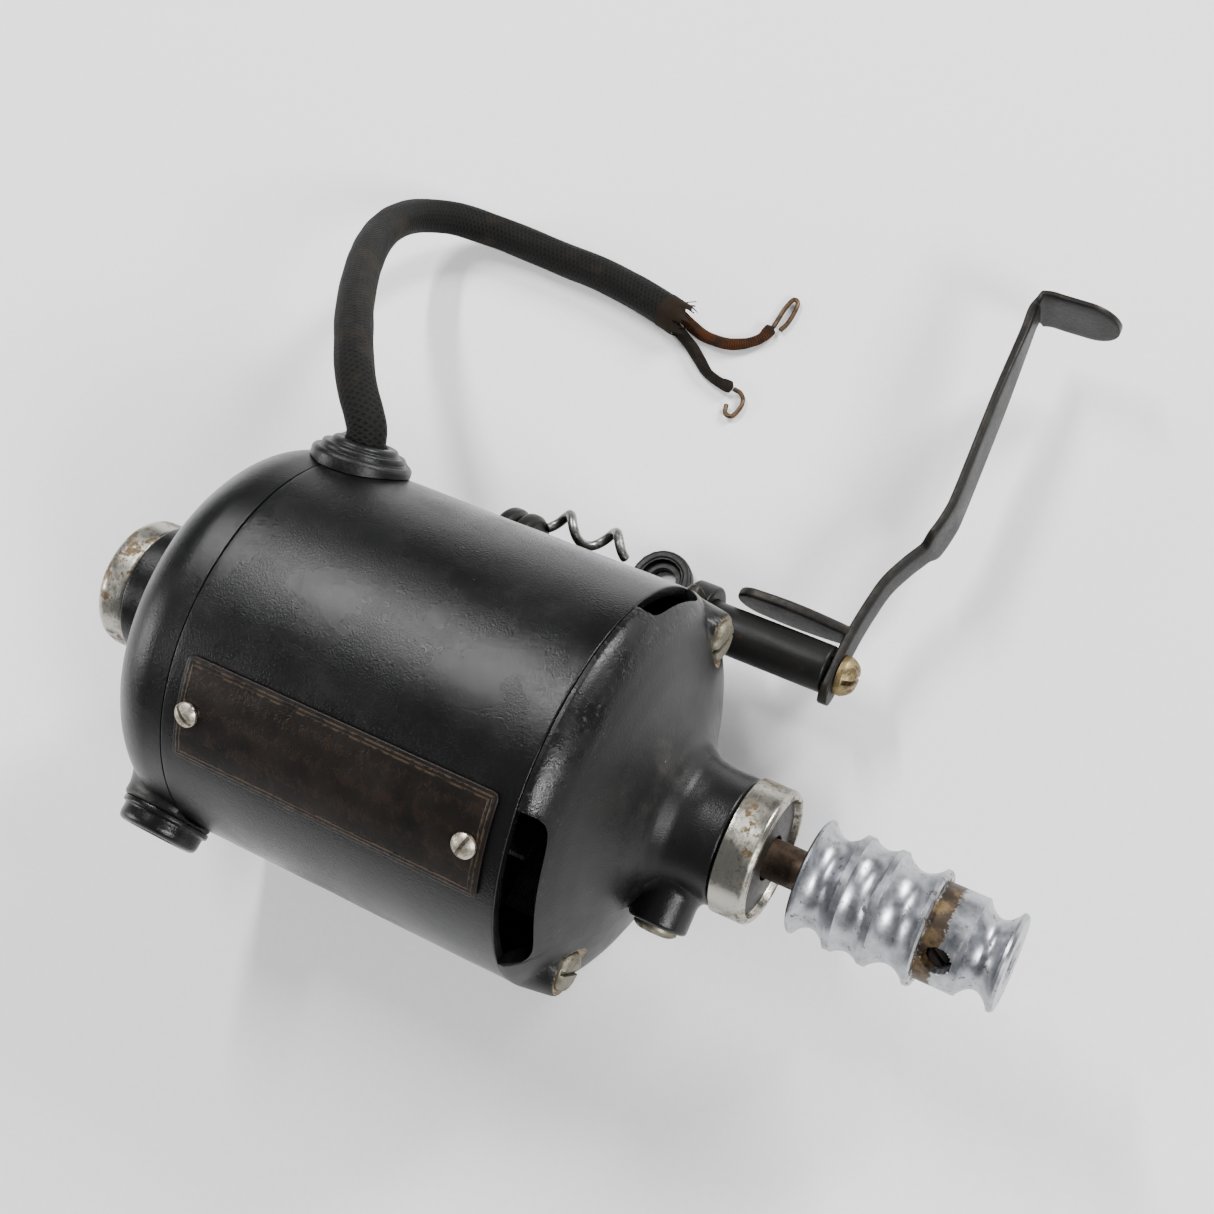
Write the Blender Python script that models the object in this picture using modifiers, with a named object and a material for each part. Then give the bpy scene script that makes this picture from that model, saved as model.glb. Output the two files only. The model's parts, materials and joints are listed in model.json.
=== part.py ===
"""Drive motor of a small knitting machine: universal motor, stepped pulley and spring lever.

Run with: blender --background --python part.py
Units are metres, +Z is up.  The motor's axis runs along +X at AXIS_HEIGHT over the base's
underside, which is z = 0.  The pulley is at +X, the lever and the supply cord are at +Y.
A turned piece lists its profile as (radius, station) pairs, down its outer side first.
"""

import math

import bmesh
import bpy
from mathutils import Matrix, Vector

MM = 0.001
GAP = 0.3 * MM
FINE = 36
MEDIUM = 18
COARSE = 10
FIRST_SPOKE = math.radians(2.2)

# ---------------------------------------------------------------- driving dimensions
AXIS_HEIGHT = 46.0 * MM
BODY_RADIUS = 41.8 * MM
BODY_HALF = 38.1 * MM
WALL = 2.4 * MM
SEAM = 0.15 * MM
BORE_RADIUS = BODY_RADIUS - WALL

SHAFT_RADIUS = 3.97 * MM
SHAFT_LEFT = -70.0 * MM
SHAFT_RIGHT = 119.9 * MM
RUNNING_RADIUS = SHAFT_RADIUS + GAP

LEFT_HUB_RADIUS = 15.0 * MM
LEFT_HUB_END = -73.1 * MM
RIGHT_HUB_RADIUS = 13.0 * MM
RIGHT_HUB_END = 66.9 * MM
HUB_BORE = 8.2 * MM

BRUSH_X = -44.6 * MM
BRUSH_ANGLES = {"front": 0.0, "back": 180.0}
BOSS_RADIUS = 10.0 * MM
BOSS_TOP = 42.5 * MM
COMMUTATOR_RADIUS = 10.5 * MM

BOLT_CIRCLE = 35.3 * MM
BOLT_ANGLES = {"front": -5.0, "back": 175.0}
BOLT_FACE = 46.0 * MM
BOLT_RADIUS = 2.0 * MM
BOLT_RIM = 0.4 * MM

PLATE_ANGLES = (38.9, 68.1)
PLATE_X = (-34.4 * MM, 34.6 * MM)
PLATE_SCREW_ANGLE = 52.7
PLATE_SCREW_X = {"left": -31.6 * MM, "right": 30.8 * MM}

GROMMET_X = -35.0 * MM
GROMMET_ANGLE = 153.0
CORD_RADIUS = 4.2 * MM

VENT_ANGLES = ((15.0, 65.5), (147.0, 164.0), (215.0, 265.0))
VENT_DEPTH = 6.0 * MM

ROD_Y = 46.75 * MM
ROD_Z = 18.7 * MM
ROD_RADIUS = 3.0 * MM
ROD_LEFT = -21.5 * MM
TUBE_RADIUS = 5.3 * MM
TUBE_X = (13.0 * MM, 61.4 * MM)
LEVER_RISE = 2.0
STRAP_THICK = 2.2 * MM
STRAP_WIDTH = 8.0 * MM
PAD_WIDTH = 14.4 * MM
SPRING_X = (-11.2 * MM, 9.4 * MM)
SPRING_Y = 55.3 * MM
SPRING_Z = 20.2 * MM
SPRING_RADIUS = 3.3 * MM
SPRING_WIRE = 0.95 * MM
SPRING_PITCH = 10.4 * MM
SPRING_PEAK_X = -8.4 * MM
SPRING_FACING = 100.0
SPRING_STEPS = 28

BASE_X = 27.0 * MM
BASE_Y = 25.0 * MM
BASE_PLATE = 4.1 * MM
LUG_RADIUS = 7.0 * MM
LUG_HOLE = 3.3 * MM
BASE_SCREW_X = {"left": -16.0 * MM, "right": 16.0 * MM}

OIL_ANGLE = -10.0
RIGHT_OIL_X = 58.2 * MM
LEFT_OIL_X = -68.7 * MM

CORE_HALF = 16.0 * MM
CORE_RADIUS = 38.8 * MM
POLE_BORE = 20.4 * MM
SLOT_RADIUS = 30.2 * MM
SLOT_HALF_ANGLE = 48.0
COIL_RADIUS = 26.0 * MM
COIL_WIRE = 3.2 * MM
COIL_ANGLE = 37.0

PULLEY_LEFT = 81.6 * MM
PULLEY_RIGHT = 121.3 * MM

SET_SCREW_X = 109.7 * MM
SET_SCREW_ANGLE = 48.0
SET_SCREW_RADIUS = 2.3 * MM

BACK_LUG = (12.6 * MM, 56.8 * MM)
FRONT_LUG = (-14.0 * MM, -30.6 * MM)
BRACKET_X = (13.5 * MM, 25.5 * MM)
BRACKET_SCREW = (19.5 * MM, 34.0 * MM)

# The cord's middle line in millimetres, from the grommet down to the table and along it.
CORD_ROUTE = (
    (-35.6, 43.1, 68.0),
    (-37.4, 46.1, 69.6),
    (-40.6, 49.7, 70.3),
    (-45.0, 54.9, 69.6),
    (-50.4, 61.5, 66.5),
    (-57.7, 70.2, 61.0),
    (-65.0, 79.3, 54.0),
    (-72.6, 89.2, 45.5),
    (-79.4, 99.3, 36.5),
    (-84.0, 108.4, 28.0),
    (-85.6, 116.0, 20.5),
    (-83.9, 121.4, 14.5),
    (-79.3, 125.2, 9.8),
    (-71.2, 127.0, 6.2),
    (-61.2, 127.2, 4.6),
    (-50.4, 126.4, 4.3),
    (-39.6, 125.7, 4.3),
    (-29.4, 124.2, 4.3),
    (-20.3, 122.2, 4.3),
    (-15.4, 120.9, 4.3),
)
RUST_ROUTE = (
    (-14.2, 121.9, 2.9),
    (-11.0, 120.9, 2.1),
    (-6.5, 119.5, 1.8),
    (-1.0, 119.4, 1.8),
    (3.5, 121.1, 1.8),
    (6.4, 123.6, 1.8),
    (7.6, 126.6, 1.8),
)
DARK_ROUTE = (
    (-14.9, 118.9, 2.9),
    (-12.0, 117.6, 2.1),
    (-9.1, 116.0, 1.8),
    (-5.6, 113.4, 1.8),
    (-1.9, 110.6, 1.8),
    (1.9, 109.2, 1.8),
    (5.0, 108.8, 1.8),
)
LOOP_ROUTE = (
    (7.9, 127.5, 1.6),
    (8.0, 130.4, 1.2),
    (8.3, 133.6, 1.2),
    (9.2, 136.4, 1.2),
    (10.6, 136.0, 1.2),
    (10.9, 133.0, 1.2),
    (10.6, 129.8, 1.2),
    (9.8, 127.6, 1.2),
)
HOOK_ROUTE = (
    (6.2, 108.8, 1.5),
    (8.0, 108.5, 1.2),
    (9.5, 106.9, 1.2),
    (9.7, 104.4, 1.2),
    (8.7, 102.0, 1.2),
    (6.9, 102.3, 1.2),
    (6.2, 104.4, 1.2),
)
CONDUCTOR_RADIUS = 1.45 * MM
WIRE_RADIUS = 0.5 * MM


# ---------------------------------------------------------------- scene and materials
def clear_scene():
    """Removes whatever the file opened with."""
    for thing in list(bpy.data.objects):
        bpy.data.objects.remove(thing, do_unlink=True)


def new_collection(name):
    """Makes a collection under the scene's own."""
    made = bpy.data.collections.new(name)
    bpy.context.scene.collection.children.link(made)
    return made


FINISHES = {
    "japan_black": ((0.012, 0.012, 0.014), 0.35, 0.0),
    "blackened_steel": ((0.03, 0.028, 0.027), 0.5, 0.6),
    "nickel": ((0.62, 0.59, 0.52), 0.3, 1.0),
    "pulley_steel": ((0.66, 0.67, 0.70), 0.25, 1.0),
    "rusty_steel": ((0.10, 0.065, 0.04), 0.6, 0.7),
    "spring_steel": ((0.55, 0.55, 0.53), 0.3, 1.0),
    "brass": ((0.62, 0.47, 0.22), 0.35, 1.0),
    "bronze": ((0.45, 0.27, 0.13), 0.4, 1.0),
    "plate_bronze": ((0.055, 0.035, 0.022), 0.5, 0.8),
    "moulded_black": ((0.014, 0.014, 0.014), 0.45, 0.0),
    "rubber": ((0.012, 0.012, 0.013), 0.6, 0.0),
    "carbon": ((0.02, 0.02, 0.022), 0.6, 0.1),
    "copper": ((0.72, 0.33, 0.18), 0.35, 1.0),
    "enamelled_wire": ((0.32, 0.10, 0.03), 0.35, 0.4),
    "lamination": ((0.20, 0.20, 0.21), 0.5, 0.9),
    "fibre": ((0.23, 0.07, 0.04), 0.7, 0.0),
    "felt": ((0.55, 0.52, 0.45), 0.95, 0.0),
    "cord_braid": ((0.018, 0.016, 0.015), 0.85, 0.0),
    "rust_cloth": ((0.12, 0.05, 0.02), 0.9, 0.0),
    "dark_cloth": ((0.035, 0.028, 0.022), 0.9, 0.0),
    "bare_wire": ((0.45, 0.38, 0.30), 0.4, 1.0),
}


def finish(name):
    """Gives the named Principled material, made once."""
    if name in bpy.data.materials:
        return bpy.data.materials[name]
    colour, roughness, metallic = FINISHES[name]
    made = bpy.data.materials.new(name)
    made.use_nodes = True
    shader = made.node_tree.nodes["Principled BSDF"]
    shader.inputs["Base Color"].default_value = (*colour, 1.0)
    shader.inputs["Roughness"].default_value = roughness
    shader.inputs["Metallic"].default_value = metallic
    made.diffuse_color = (*colour, 1.0)
    return made


clear_scene()
PARTS = new_collection("knitting_machine_motor")
CUTTERS = new_collection("cutters")


def register(made, material):
    """Puts a finished piece in the object's collection with its material."""
    PARTS.objects.link(made)
    made.data.materials.clear()
    made.data.materials.append(finish(material))
    return made


def pivot(name, place):
    """An empty that stands on a joint's axis and carries what moves with it."""
    made = bpy.data.objects.new(name, None)
    made.empty_display_size = 10 * MM
    made.location = place
    PARTS.objects.link(made)
    return made


def attach(piece, carrier):
    """Parents a piece to an empty and leaves it where it is."""
    piece.parent = carrier
    piece.matrix_parent_inverse = Matrix.Translation(-carrier.location)


# ---------------------------------------------------------------- placing
def radial(angle):
    """Unit vector away from the motor's axis: 0 is the front, 90 is up, 180 is the back."""
    turn = math.radians(angle)
    return Vector((0.0, -math.cos(turn), math.sin(turn)))


def on_axis(x, radius=0.0, angle=0.0):
    """A point at a station along the motor and a radius and angle about its axis."""
    return Vector((x, 0.0, AXIS_HEIGHT)) + radial(angle) * radius


def aim(piece, place, direction):
    """Turns a piece's own +Z towards a direction and puts it in its place."""
    piece.rotation_euler = Vector(direction).to_track_quat("Z", "Y").to_euler()
    piece.location = place
    return piece


ALONG_X = Vector((1.0, 0.0, 0.0))
MOTOR_AXIS = Vector((0.0, 0.0, AXIS_HEIGHT))
ROD_AXIS = Vector((0.0, ROD_Y, ROD_Z))


# ---------------------------------------------------------------- solids
def smooth_shading(mesh, angle=35.0):
    """Smooth faces with sharp edges kept."""
    mesh.shade_smooth()
    mesh.set_sharp_from_angle(angle=math.radians(angle))


def turned(name, profile, segments=MEDIUM, closed=False):
    """A profile of (radius, station) pairs carried round its own Z axis by Screw."""
    mesh = bpy.data.meshes.new(name)
    spoke = (math.cos(FIRST_SPOKE), math.sin(FIRST_SPOKE))
    corners = [(radius * spoke[0], radius * spoke[1], station) for radius, station in profile]
    edges = [(i, i + 1) for i in range(len(corners) - 1)]
    if closed:
        edges.append((len(corners) - 1, 0))
    mesh.from_pydata(corners, edges, [])
    made = bpy.data.objects.new(name, mesh)
    screw = made.modifiers.new("turn", "SCREW")
    screw.axis = "Z"
    screw.steps = segments
    screw.render_steps = segments
    screw.use_merge_vertices = True
    screw.merge_threshold = 0.01 * MM
    screw.use_smooth_shade = True
    return made


def rod(name, radius, low, high, segments=MEDIUM):
    """A plain round bar from one station to another along its own Z axis."""
    mesh = bpy.data.meshes.new(name)
    shape = bmesh.new()
    bmesh.ops.create_cone(
        shape, cap_ends=True, segments=segments, radius1=radius, radius2=radius, depth=high - low
    )
    bmesh.ops.translate(shape, verts=shape.verts, vec=(0.0, 0.0, (low + high) / 2))
    shape.to_mesh(mesh)
    shape.free()
    smooth_shading(mesh)
    return bpy.data.objects.new(name, mesh)


def block(name, low, high, rounding=0.0):
    """A box between two corners, with its edges rounded when asked."""
    mesh = bpy.data.meshes.new(name)
    shape = bmesh.new()
    bmesh.ops.create_cube(shape, size=1.0)
    size = [b - a for a, b in zip(low, high)]
    middle = [(a + b) / 2 for a, b in zip(low, high)]
    bmesh.ops.scale(shape, verts=shape.verts, vec=size)
    bmesh.ops.translate(shape, verts=shape.verts, vec=middle)
    shape.to_mesh(mesh)
    shape.free()
    made = bpy.data.objects.new(name, mesh)
    if rounding:
        bevel = made.modifiers.new("edges", "BEVEL")
        bevel.width = rounding
        bevel.segments = 2
    return made


def welded(curve_object):
    """Turns a curve object into a mesh object with its caps joined on."""
    bpy.context.scene.collection.objects.link(curve_object)
    bpy.context.view_layer.update()
    evaluated = curve_object.evaluated_get(bpy.context.evaluated_depsgraph_get())
    mesh = bpy.data.meshes.new_from_object(evaluated)
    name = curve_object.name
    place = curve_object.matrix_world.copy()
    bpy.data.objects.remove(curve_object, do_unlink=True)
    shape = bmesh.new()
    shape.from_mesh(mesh)
    bmesh.ops.remove_doubles(shape, verts=shape.verts, dist=0.001 * MM)
    bmesh.ops.recalc_face_normals(shape, faces=shape.faces)
    shape.to_mesh(mesh)
    shape.free()
    made = bpy.data.objects.new(name, mesh)
    made.matrix_world = place
    return made


def plate(name, outline, low, high):
    """A flat outline in its own XY plane, extruded from one height to another."""
    curve = bpy.data.curves.new(name, "CURVE")
    curve.dimensions = "2D"
    curve.fill_mode = "BOTH"
    curve.extrude = (high - low) / 2
    spline = curve.splines.new("POLY")
    spline.points.add(len(outline) - 1)
    for point, (x, y) in zip(spline.points, outline):
        point.co = (x, y, 0.0, 1.0)
    spline.use_cyclic_u = True
    made = welded(bpy.data.objects.new(name, curve))
    made.data.transform(Matrix.Translation((0.0, 0.0, (low + high) / 2)))
    return made


def tube(name, path, radius, sides=2, cyclic=False):
    """A round wire or cord along a list of points, with filled ends."""
    curve = bpy.data.curves.new(name, "CURVE")
    curve.dimensions = "3D"
    curve.bevel_depth = radius
    curve.bevel_resolution = sides
    curve.use_fill_caps = not cyclic
    spline = curve.splines.new("POLY")
    spline.points.add(len(path) - 1)
    for point, place in zip(spline.points, path):
        point.co = (*place, 1.0)
    spline.use_cyclic_u = cyclic
    return welded(bpy.data.objects.new(name, curve))


def change(piece, other, operation):
    """Adds a Boolean; the other object is kept as a hidden tool."""
    CUTTERS.objects.link(other)
    other.hide_render = True
    other.display_type = "WIRE"
    boolean = piece.modifiers.new(operation.lower(), "BOOLEAN")
    boolean.operation = operation
    boolean.solver = "EXACT"
    boolean.object = other


def cut(piece, other):
    """Takes the other solid out of the piece."""
    change(piece, other, "DIFFERENCE")


def join(piece, other):
    """Joins the other solid on to the piece."""
    change(piece, other, "UNION")


def smooth_through(points, per_span):
    """A smooth curve through hand-placed points, read off at even steps in each span."""
    spots = [Vector(p) for p in points]
    ends = [2 * spots[0] - spots[1], *spots, 2 * spots[-1] - spots[-2]]
    out = []
    for i in range(1, len(ends) - 2):
        before, start, stop, after = ends[i - 1 : i + 3]
        for step in range(per_span):
            t = step / per_span
            pull = (stop - before) * t + (2 * before - 5 * start + 4 * stop - after) * t * t
            twist = (3 * start - 3 * stop + after - before) * t**3
            out.append(start + (pull + twist) / 2)
    out.append(spots[-1])
    return out


def arc(radius, first, last, steps, centre=(0.0, 0.0)):
    """Points on a circle between two angles in degrees."""
    spread = [math.radians(first + (last - first) * i / steps) for i in range(steps + 1)]
    return [(centre[0] + radius * math.cos(a), centre[1] + radius * math.sin(a)) for a in spread]


def ring_sector(name, inner, outer, angles, low, high, steps=8):
    """A piece of a ring about the motor's axis, between two of its angles and stations."""
    first, last = angles
    outline = arc(outer, first, last, steps) + arc(inner, last, first, steps)
    made = plate(name, outline, low, high)
    turn = Matrix(((0, 0, 1, 0), (-1, 0, 0, 0), (0, 1, 0, 0), (0, 0, 0, 1)))
    made.data.transform(turn)
    made.data.flip_normals()
    made.location = MOTOR_AXIS
    return made


def slotted_head(name, head_radius, head_height, shank_radius, shank_length, slot_width):
    """A round-headed screw with a slot: the head's seat is at its own z = 0."""
    edge = head_height * 0.45
    profile = [(0.0, head_height), (head_radius * 0.55, head_height * 0.92)]
    profile += [(head_radius * 0.88, head_height * 0.68), (head_radius, edge)]
    profile += [(head_radius, 0.0), (shank_radius, 0.0)]
    profile += [(shank_radius, -shank_length), (0.0, -shank_length)]
    made = turned(name, profile, COARSE)
    reach = head_radius * 1.2
    slot = block(
        name + "_slot",
        (-reach, -slot_width / 2, head_height * 0.5),
        (reach, slot_width / 2, head_height * 1.5),
    )
    cut(made, slot)
    slot.parent = made
    return made


# ---------------------------------------------------------------- housing
def motor_body():
    """The rolled steel tube between the two end bells."""
    end = BODY_HALF - SEAM
    profile = [(BODY_RADIUS, end), (BODY_RADIUS, -end), (BORE_RADIUS, -end), (BORE_RADIUS, end)]
    body = turned("motor_body", profile, FINE, closed=True)
    aim(body, MOTOR_AXIS, ALONG_X)
    cut(body, grommet_hole("body_grommet_hole"))
    for side, angle in BRUSH_ANGLES.items():
        notch = rod(f"body_{side}_notch", BOSS_RADIUS + GAP, 30 * MM, 50 * MM)
        cut(body, aim(notch, on_axis(BRUSH_X), radial(angle)))
    for side, x in PLATE_SCREW_X.items():
        hole = rod(f"body_{side}_plate_hole", 1.5 * MM, 30 * MM, 50 * MM, COARSE)
        cut(body, aim(hole, on_axis(x), radial(PLATE_SCREW_ANGLE)))
    for side, x in BASE_SCREW_X.items():
        hole = rod(f"body_{side}_base_hole", 2.2 * MM, 30 * MM, 50 * MM, COARSE)
        cut(body, aim(hole, on_axis(x), radial(-90.0)))
    register(body, "japan_black")


def grommet_hole(name):
    """The round hole that the cord's grommet sits in, across the left seam."""
    hole = rod(name, 6.2 * MM, 30 * MM, 50 * MM)
    return aim(hole, on_axis(GROMMET_X), radial(GROMMET_ANGLE))


def left_bell():
    """Brush end: a deep domed cover with the rear bearing hub and two brush bosses."""
    edge = -BODY_HALF - SEAM
    corner = arc(12.5 * MM, 0.0, -72.0, 6, (29.3 * MM, -42.6 * MM))
    outer = [(BODY_RADIUS, edge), *corner]
    outer += [(22.0 * MM, -57.6 * MM), (17.4 * MM, -60.0 * MM), (15.4 * MM, -63.4 * MM)]
    outer += [(LEFT_HUB_RADIUS, -67.0 * MM), (LEFT_HUB_RADIUS, LEFT_HUB_END + GAP)]
    dome = arc(10.1 * MM, -72.0, 0.0, 4, (29.3 * MM, -42.6 * MM))
    inner = [(HUB_BORE, LEFT_HUB_END + GAP), (HUB_BORE, -54.9 * MM), *dome]
    inner += [(BORE_RADIUS, edge)]
    bell = turned("left_end_bell", outer + inner, FINE, closed=True)
    aim(bell, MOTOR_AXIS, ALONG_X)
    for side, angle in BRUSH_ANGLES.items():
        boss = rod(f"left_bell_{side}_boss", BOSS_RADIUS, 31.0 * MM, BOSS_TOP)
        join(bell, aim(boss, on_axis(BRUSH_X), radial(angle)))
    oil = rod("left_bell_oil_boss", 4.1 * MM, 12 * MM, 20.0 * MM, COARSE)
    join(bell, aim(oil, on_axis(LEFT_OIL_X), radial(OIL_ANGLE)))
    for side, angle in BRUSH_ANGLES.items():
        hole = rod(f"left_bell_{side}_hole", 6.6 * MM, 20 * MM, 60 * MM)
        cut(bell, aim(hole, on_axis(BRUSH_X), radial(angle)))
    hole = rod("left_bell_oil_hole", 2.3 * MM, 4.0 * MM, 30 * MM, COARSE)
    cut(bell, aim(hole, on_axis(LEFT_OIL_X), radial(OIL_ANGLE)))
    cut(bell, grommet_hole("bell_grommet_hole"))
    register(bell, "japan_black")


def right_bell():
    """Drive end: a short band, three vents, a steep concave cone and the front hub."""
    outer_shape = [(13.0, 66.6), (13.0, 60.4), (13.6, 57.0), (15.6, 54.2), (19.4, 52.1)]
    outer_shape += [(24.6, 50.1), (29.8, 48.2), (34.0, 46.3), (37.2, 44.4), (39.6, 42.4)]
    outer_shape += [(41.2, 40.4), (41.8, 39.2)]
    inner_shape = [(39.0, 39.6), (37.0, 41.2), (34.2, 42.8), (31.0, 44.4), (27.0, 46.2)]
    inner_shape += [(21.8, 48.1), (16.5, 50.2)]
    edge = BODY_HALF + SEAM
    profile = [(r * MM, x * MM) for r, x in outer_shape]
    profile += [(BODY_RADIUS, edge), (BORE_RADIUS, edge)]
    profile += [(r * MM, x * MM) for r, x in inner_shape]
    profile += [(HUB_BORE, 51.0 * MM), (HUB_BORE, 66.6 * MM)]
    bell = turned("right_end_bell", profile, FINE, closed=True)
    aim(bell, MOTOR_AXIS, ALONG_X)
    for side, angle in BOLT_ANGLES.items():
        boss = rod(f"right_bell_{side}_boss", 5.4 * MM, 41.0 * MM, BOLT_FACE + BOLT_RIM, COARSE)
        join(bell, aim(boss, on_axis(0.0, BOLT_CIRCLE, angle), ALONG_X))
    oil = rod("right_bell_oil_boss", 6.0 * MM, 11 * MM, 20.4 * MM, COARSE)
    join(bell, aim(oil, on_axis(RIGHT_OIL_X), radial(OIL_ANGLE)))
    for side, angle in BOLT_ANGLES.items():
        hole = rod(f"right_bell_{side}_hole", 2.4 * MM, 30.0 * MM, 60.0 * MM, COARSE)
        cut(bell, aim(hole, on_axis(0.0, BOLT_CIRCLE, angle), ALONG_X))
        face = rod(f"right_bell_{side}_face", 4.8 * MM, BOLT_FACE, 60.0 * MM, COARSE)
        cut(bell, aim(face, on_axis(0.0, BOLT_CIRCLE, angle), ALONG_X))
    hole = rod("right_bell_oil_hole", 2.8 * MM, 4.0 * MM, 30 * MM, COARSE)
    cut(bell, aim(hole, on_axis(RIGHT_OIL_X), radial(OIL_ANGLE)))
    for number, angles in enumerate(VENT_ANGLES):
        low = BODY_HALF - 1 * MM
        vent = ring_sector(f"vent_{number}", 30 * MM, 46 * MM, angles, low, BODY_HALF + VENT_DEPTH)
        cut(bell, vent)
    register(bell, "japan_black")


def bearing_caps():
    """The nickel-plated oil caps on the two hubs."""
    low = LEFT_HUB_END
    profile = [(0.0, low), (14.3 * MM, low), (14.3 * MM, -78.4 * MM), (13.6 * MM, -79.6 * MM)]
    profile += [(12.0 * MM, -80.3 * MM), (0.0, -80.5 * MM)]
    left = turned("left_bearing_cap", profile, MEDIUM)
    register(aim(left, MOTOR_AXIS, ALONG_X), "nickel")
    profile = [(12.7 * MM, 74.3 * MM), (13.6 * MM, 73.4 * MM), (13.6 * MM, RIGHT_HUB_END)]
    profile += [(4.7 * MM, RIGHT_HUB_END), (4.7 * MM, 71.8 * MM), (10.6 * MM, 71.8 * MM)]
    profile += [(11.8 * MM, 72.8 * MM), (11.9 * MM, 74.3 * MM)]
    right = turned("right_bearing_cap", profile, MEDIUM, closed=True)
    register(aim(right, MOTOR_AXIS, ALONG_X), "nickel")


def sleeve(name, inner, outer, low, high, material, segments=MEDIUM):
    """A plain ring about the motor's axis."""
    profile = [(outer, high), (outer, low), (inner, low), (inner, high)]
    made = turned(name, profile, segments, closed=True)
    return register(aim(made, MOTOR_AXIS, ALONG_X), material)


def bearings():
    """Bronze bushes, their felt oil washers and the fibre thrust washers."""
    bush = HUB_BORE - GAP
    sleeve("left_bush", RUNNING_RADIUS, bush, -72.5 * MM, -55.6 * MM, "bronze")
    sleeve("right_bush", RUNNING_RADIUS, bush, 51.4 * MM, 66.3 * MM, "bronze")
    sleeve("left_felt_washer", 4.6 * MM, 7.6 * MM, -55.3 * MM, -54.4 * MM, "felt", COARSE)
    sleeve("right_felt_washer", 4.6 * MM, 7.6 * MM, 49.5 * MM, 51.1 * MM, "felt", COARSE)
    fibre = 7.4 * MM
    sleeve("left_thrust_washer", RUNNING_RADIUS, fibre, -54.1 * MM, -53.5 * MM, "fibre", COARSE)
    sleeve("right_thrust_washer", RUNNING_RADIUS, fibre, 47.8 * MM, 49.1 * MM, "fibre", COARSE)


def oil_plugs():
    """Slotted plugs in the two oil bosses."""
    seats = {"left": (LEFT_OIL_X, 20.3 * MM, 3.4 * MM, 1.9 * MM)}
    seats["right"] = (RIGHT_OIL_X, 20.7 * MM, 4.4 * MM, 2.4 * MM)
    for side, (x, seat, head, shank) in seats.items():
        plug = slotted_head(f"{side}_oil_plug", head, 1.3 * MM, shank, 8.0 * MM, 1.0 * MM)
        register(aim(plug, on_axis(x, seat, OIL_ANGLE), radial(OIL_ANGLE)), "nickel")


def through_bolts():
    """Long screws that pull the drive-end bell on to the field core."""
    for side, angle in BOLT_ANGLES.items():
        length = BOLT_FACE + GAP + 14.0 * MM
        bolt = slotted_head(f"{side}_through_bolt", 4.2 * MM, 2.6 * MM, BOLT_RADIUS, length, 1.1 * MM)
        place = on_axis(BOLT_FACE + GAP, BOLT_CIRCLE, angle)
        register(aim(bolt, place, ALONG_X), "blackened_steel")


def rating_plate():
    """A blank curved plate and its two screws."""
    low = BODY_RADIUS + GAP
    sheet = ring_sector("rating_plate", low, low + 0.5 * MM, PLATE_ANGLES, *PLATE_X, steps=10)
    for side, x in PLATE_SCREW_X.items():
        hole = rod(f"plate_{side}_hole", 1.5 * MM, 30 * MM, 50 * MM, COARSE)
        cut(sheet, aim(hole, on_axis(x), radial(PLATE_SCREW_ANGLE)))
    register(sheet, "plate_bronze")
    for side, x in PLATE_SCREW_X.items():
        screw = slotted_head(f"plate_screw_{side}", 2.5 * MM, 1.4 * MM, 1.15 * MM, 4.0 * MM, 0.7 * MM)
        place = on_axis(x, BODY_RADIUS + 1.15 * MM, PLATE_SCREW_ANGLE)
        register(aim(screw, place, radial(PLATE_SCREW_ANGLE)), "nickel")


# ---------------------------------------------------------------- field
def field_core():
    """The stacked iron ring with a pole above and below the armature."""
    core = rod("field_core", CORE_RADIUS, -CORE_HALF, CORE_HALF, FINE)
    aim(core, MOTOR_AXIS, ALONG_X)
    reach = CORE_HALF + 2 * MM
    cut(core, aim(rod("field_bore", POLE_BORE, -reach, reach), MOTOR_AXIS, ALONG_X))
    for number, middle in enumerate((0.0, 180.0)):
        span = (middle - SLOT_HALF_ANGLE, middle + SLOT_HALF_ANGLE)
        slot = ring_sector(f"field_slot_{number}", 18 * MM, SLOT_RADIUS, span, -reach, reach)
        cut(core, slot)
    for side, angle in BOLT_ANGLES.items():
        hole = rod(f"field_{side}_hole", BOLT_RADIUS + GAP + 0.05 * MM, -reach, reach, COARSE)
        cut(core, aim(hole, on_axis(0.0, BOLT_CIRCLE, angle), ALONG_X))
    register(core, "lamination")


def coil_path(middle):
    """A racetrack round one pole: two straight sides and an arch over each end."""
    half = CORE_HALF + 4.6 * MM
    path = []
    for end in (1.0, -1.0):
        for step in range(9):
            share = step / 8 if end > 0 else 1 - step / 8
            angle = middle - (90 - COIL_ANGLE) + 2 * (90 - COIL_ANGLE) * share
            ease = math.sin(math.pi * share) ** 0.5
            path.append(on_axis(end * (CORE_HALF + 1.5 * MM + (half - CORE_HALF) * ease), COIL_RADIUS, angle))
    return path


def field_coils():
    """The two taped coils."""
    for name, middle in (("upper_field_coil", 90.0), ("lower_field_coil", 270.0)):
        register(tube(name, coil_path(middle), COIL_WIRE, 2, cyclic=True), "enamelled_wire")


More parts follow.
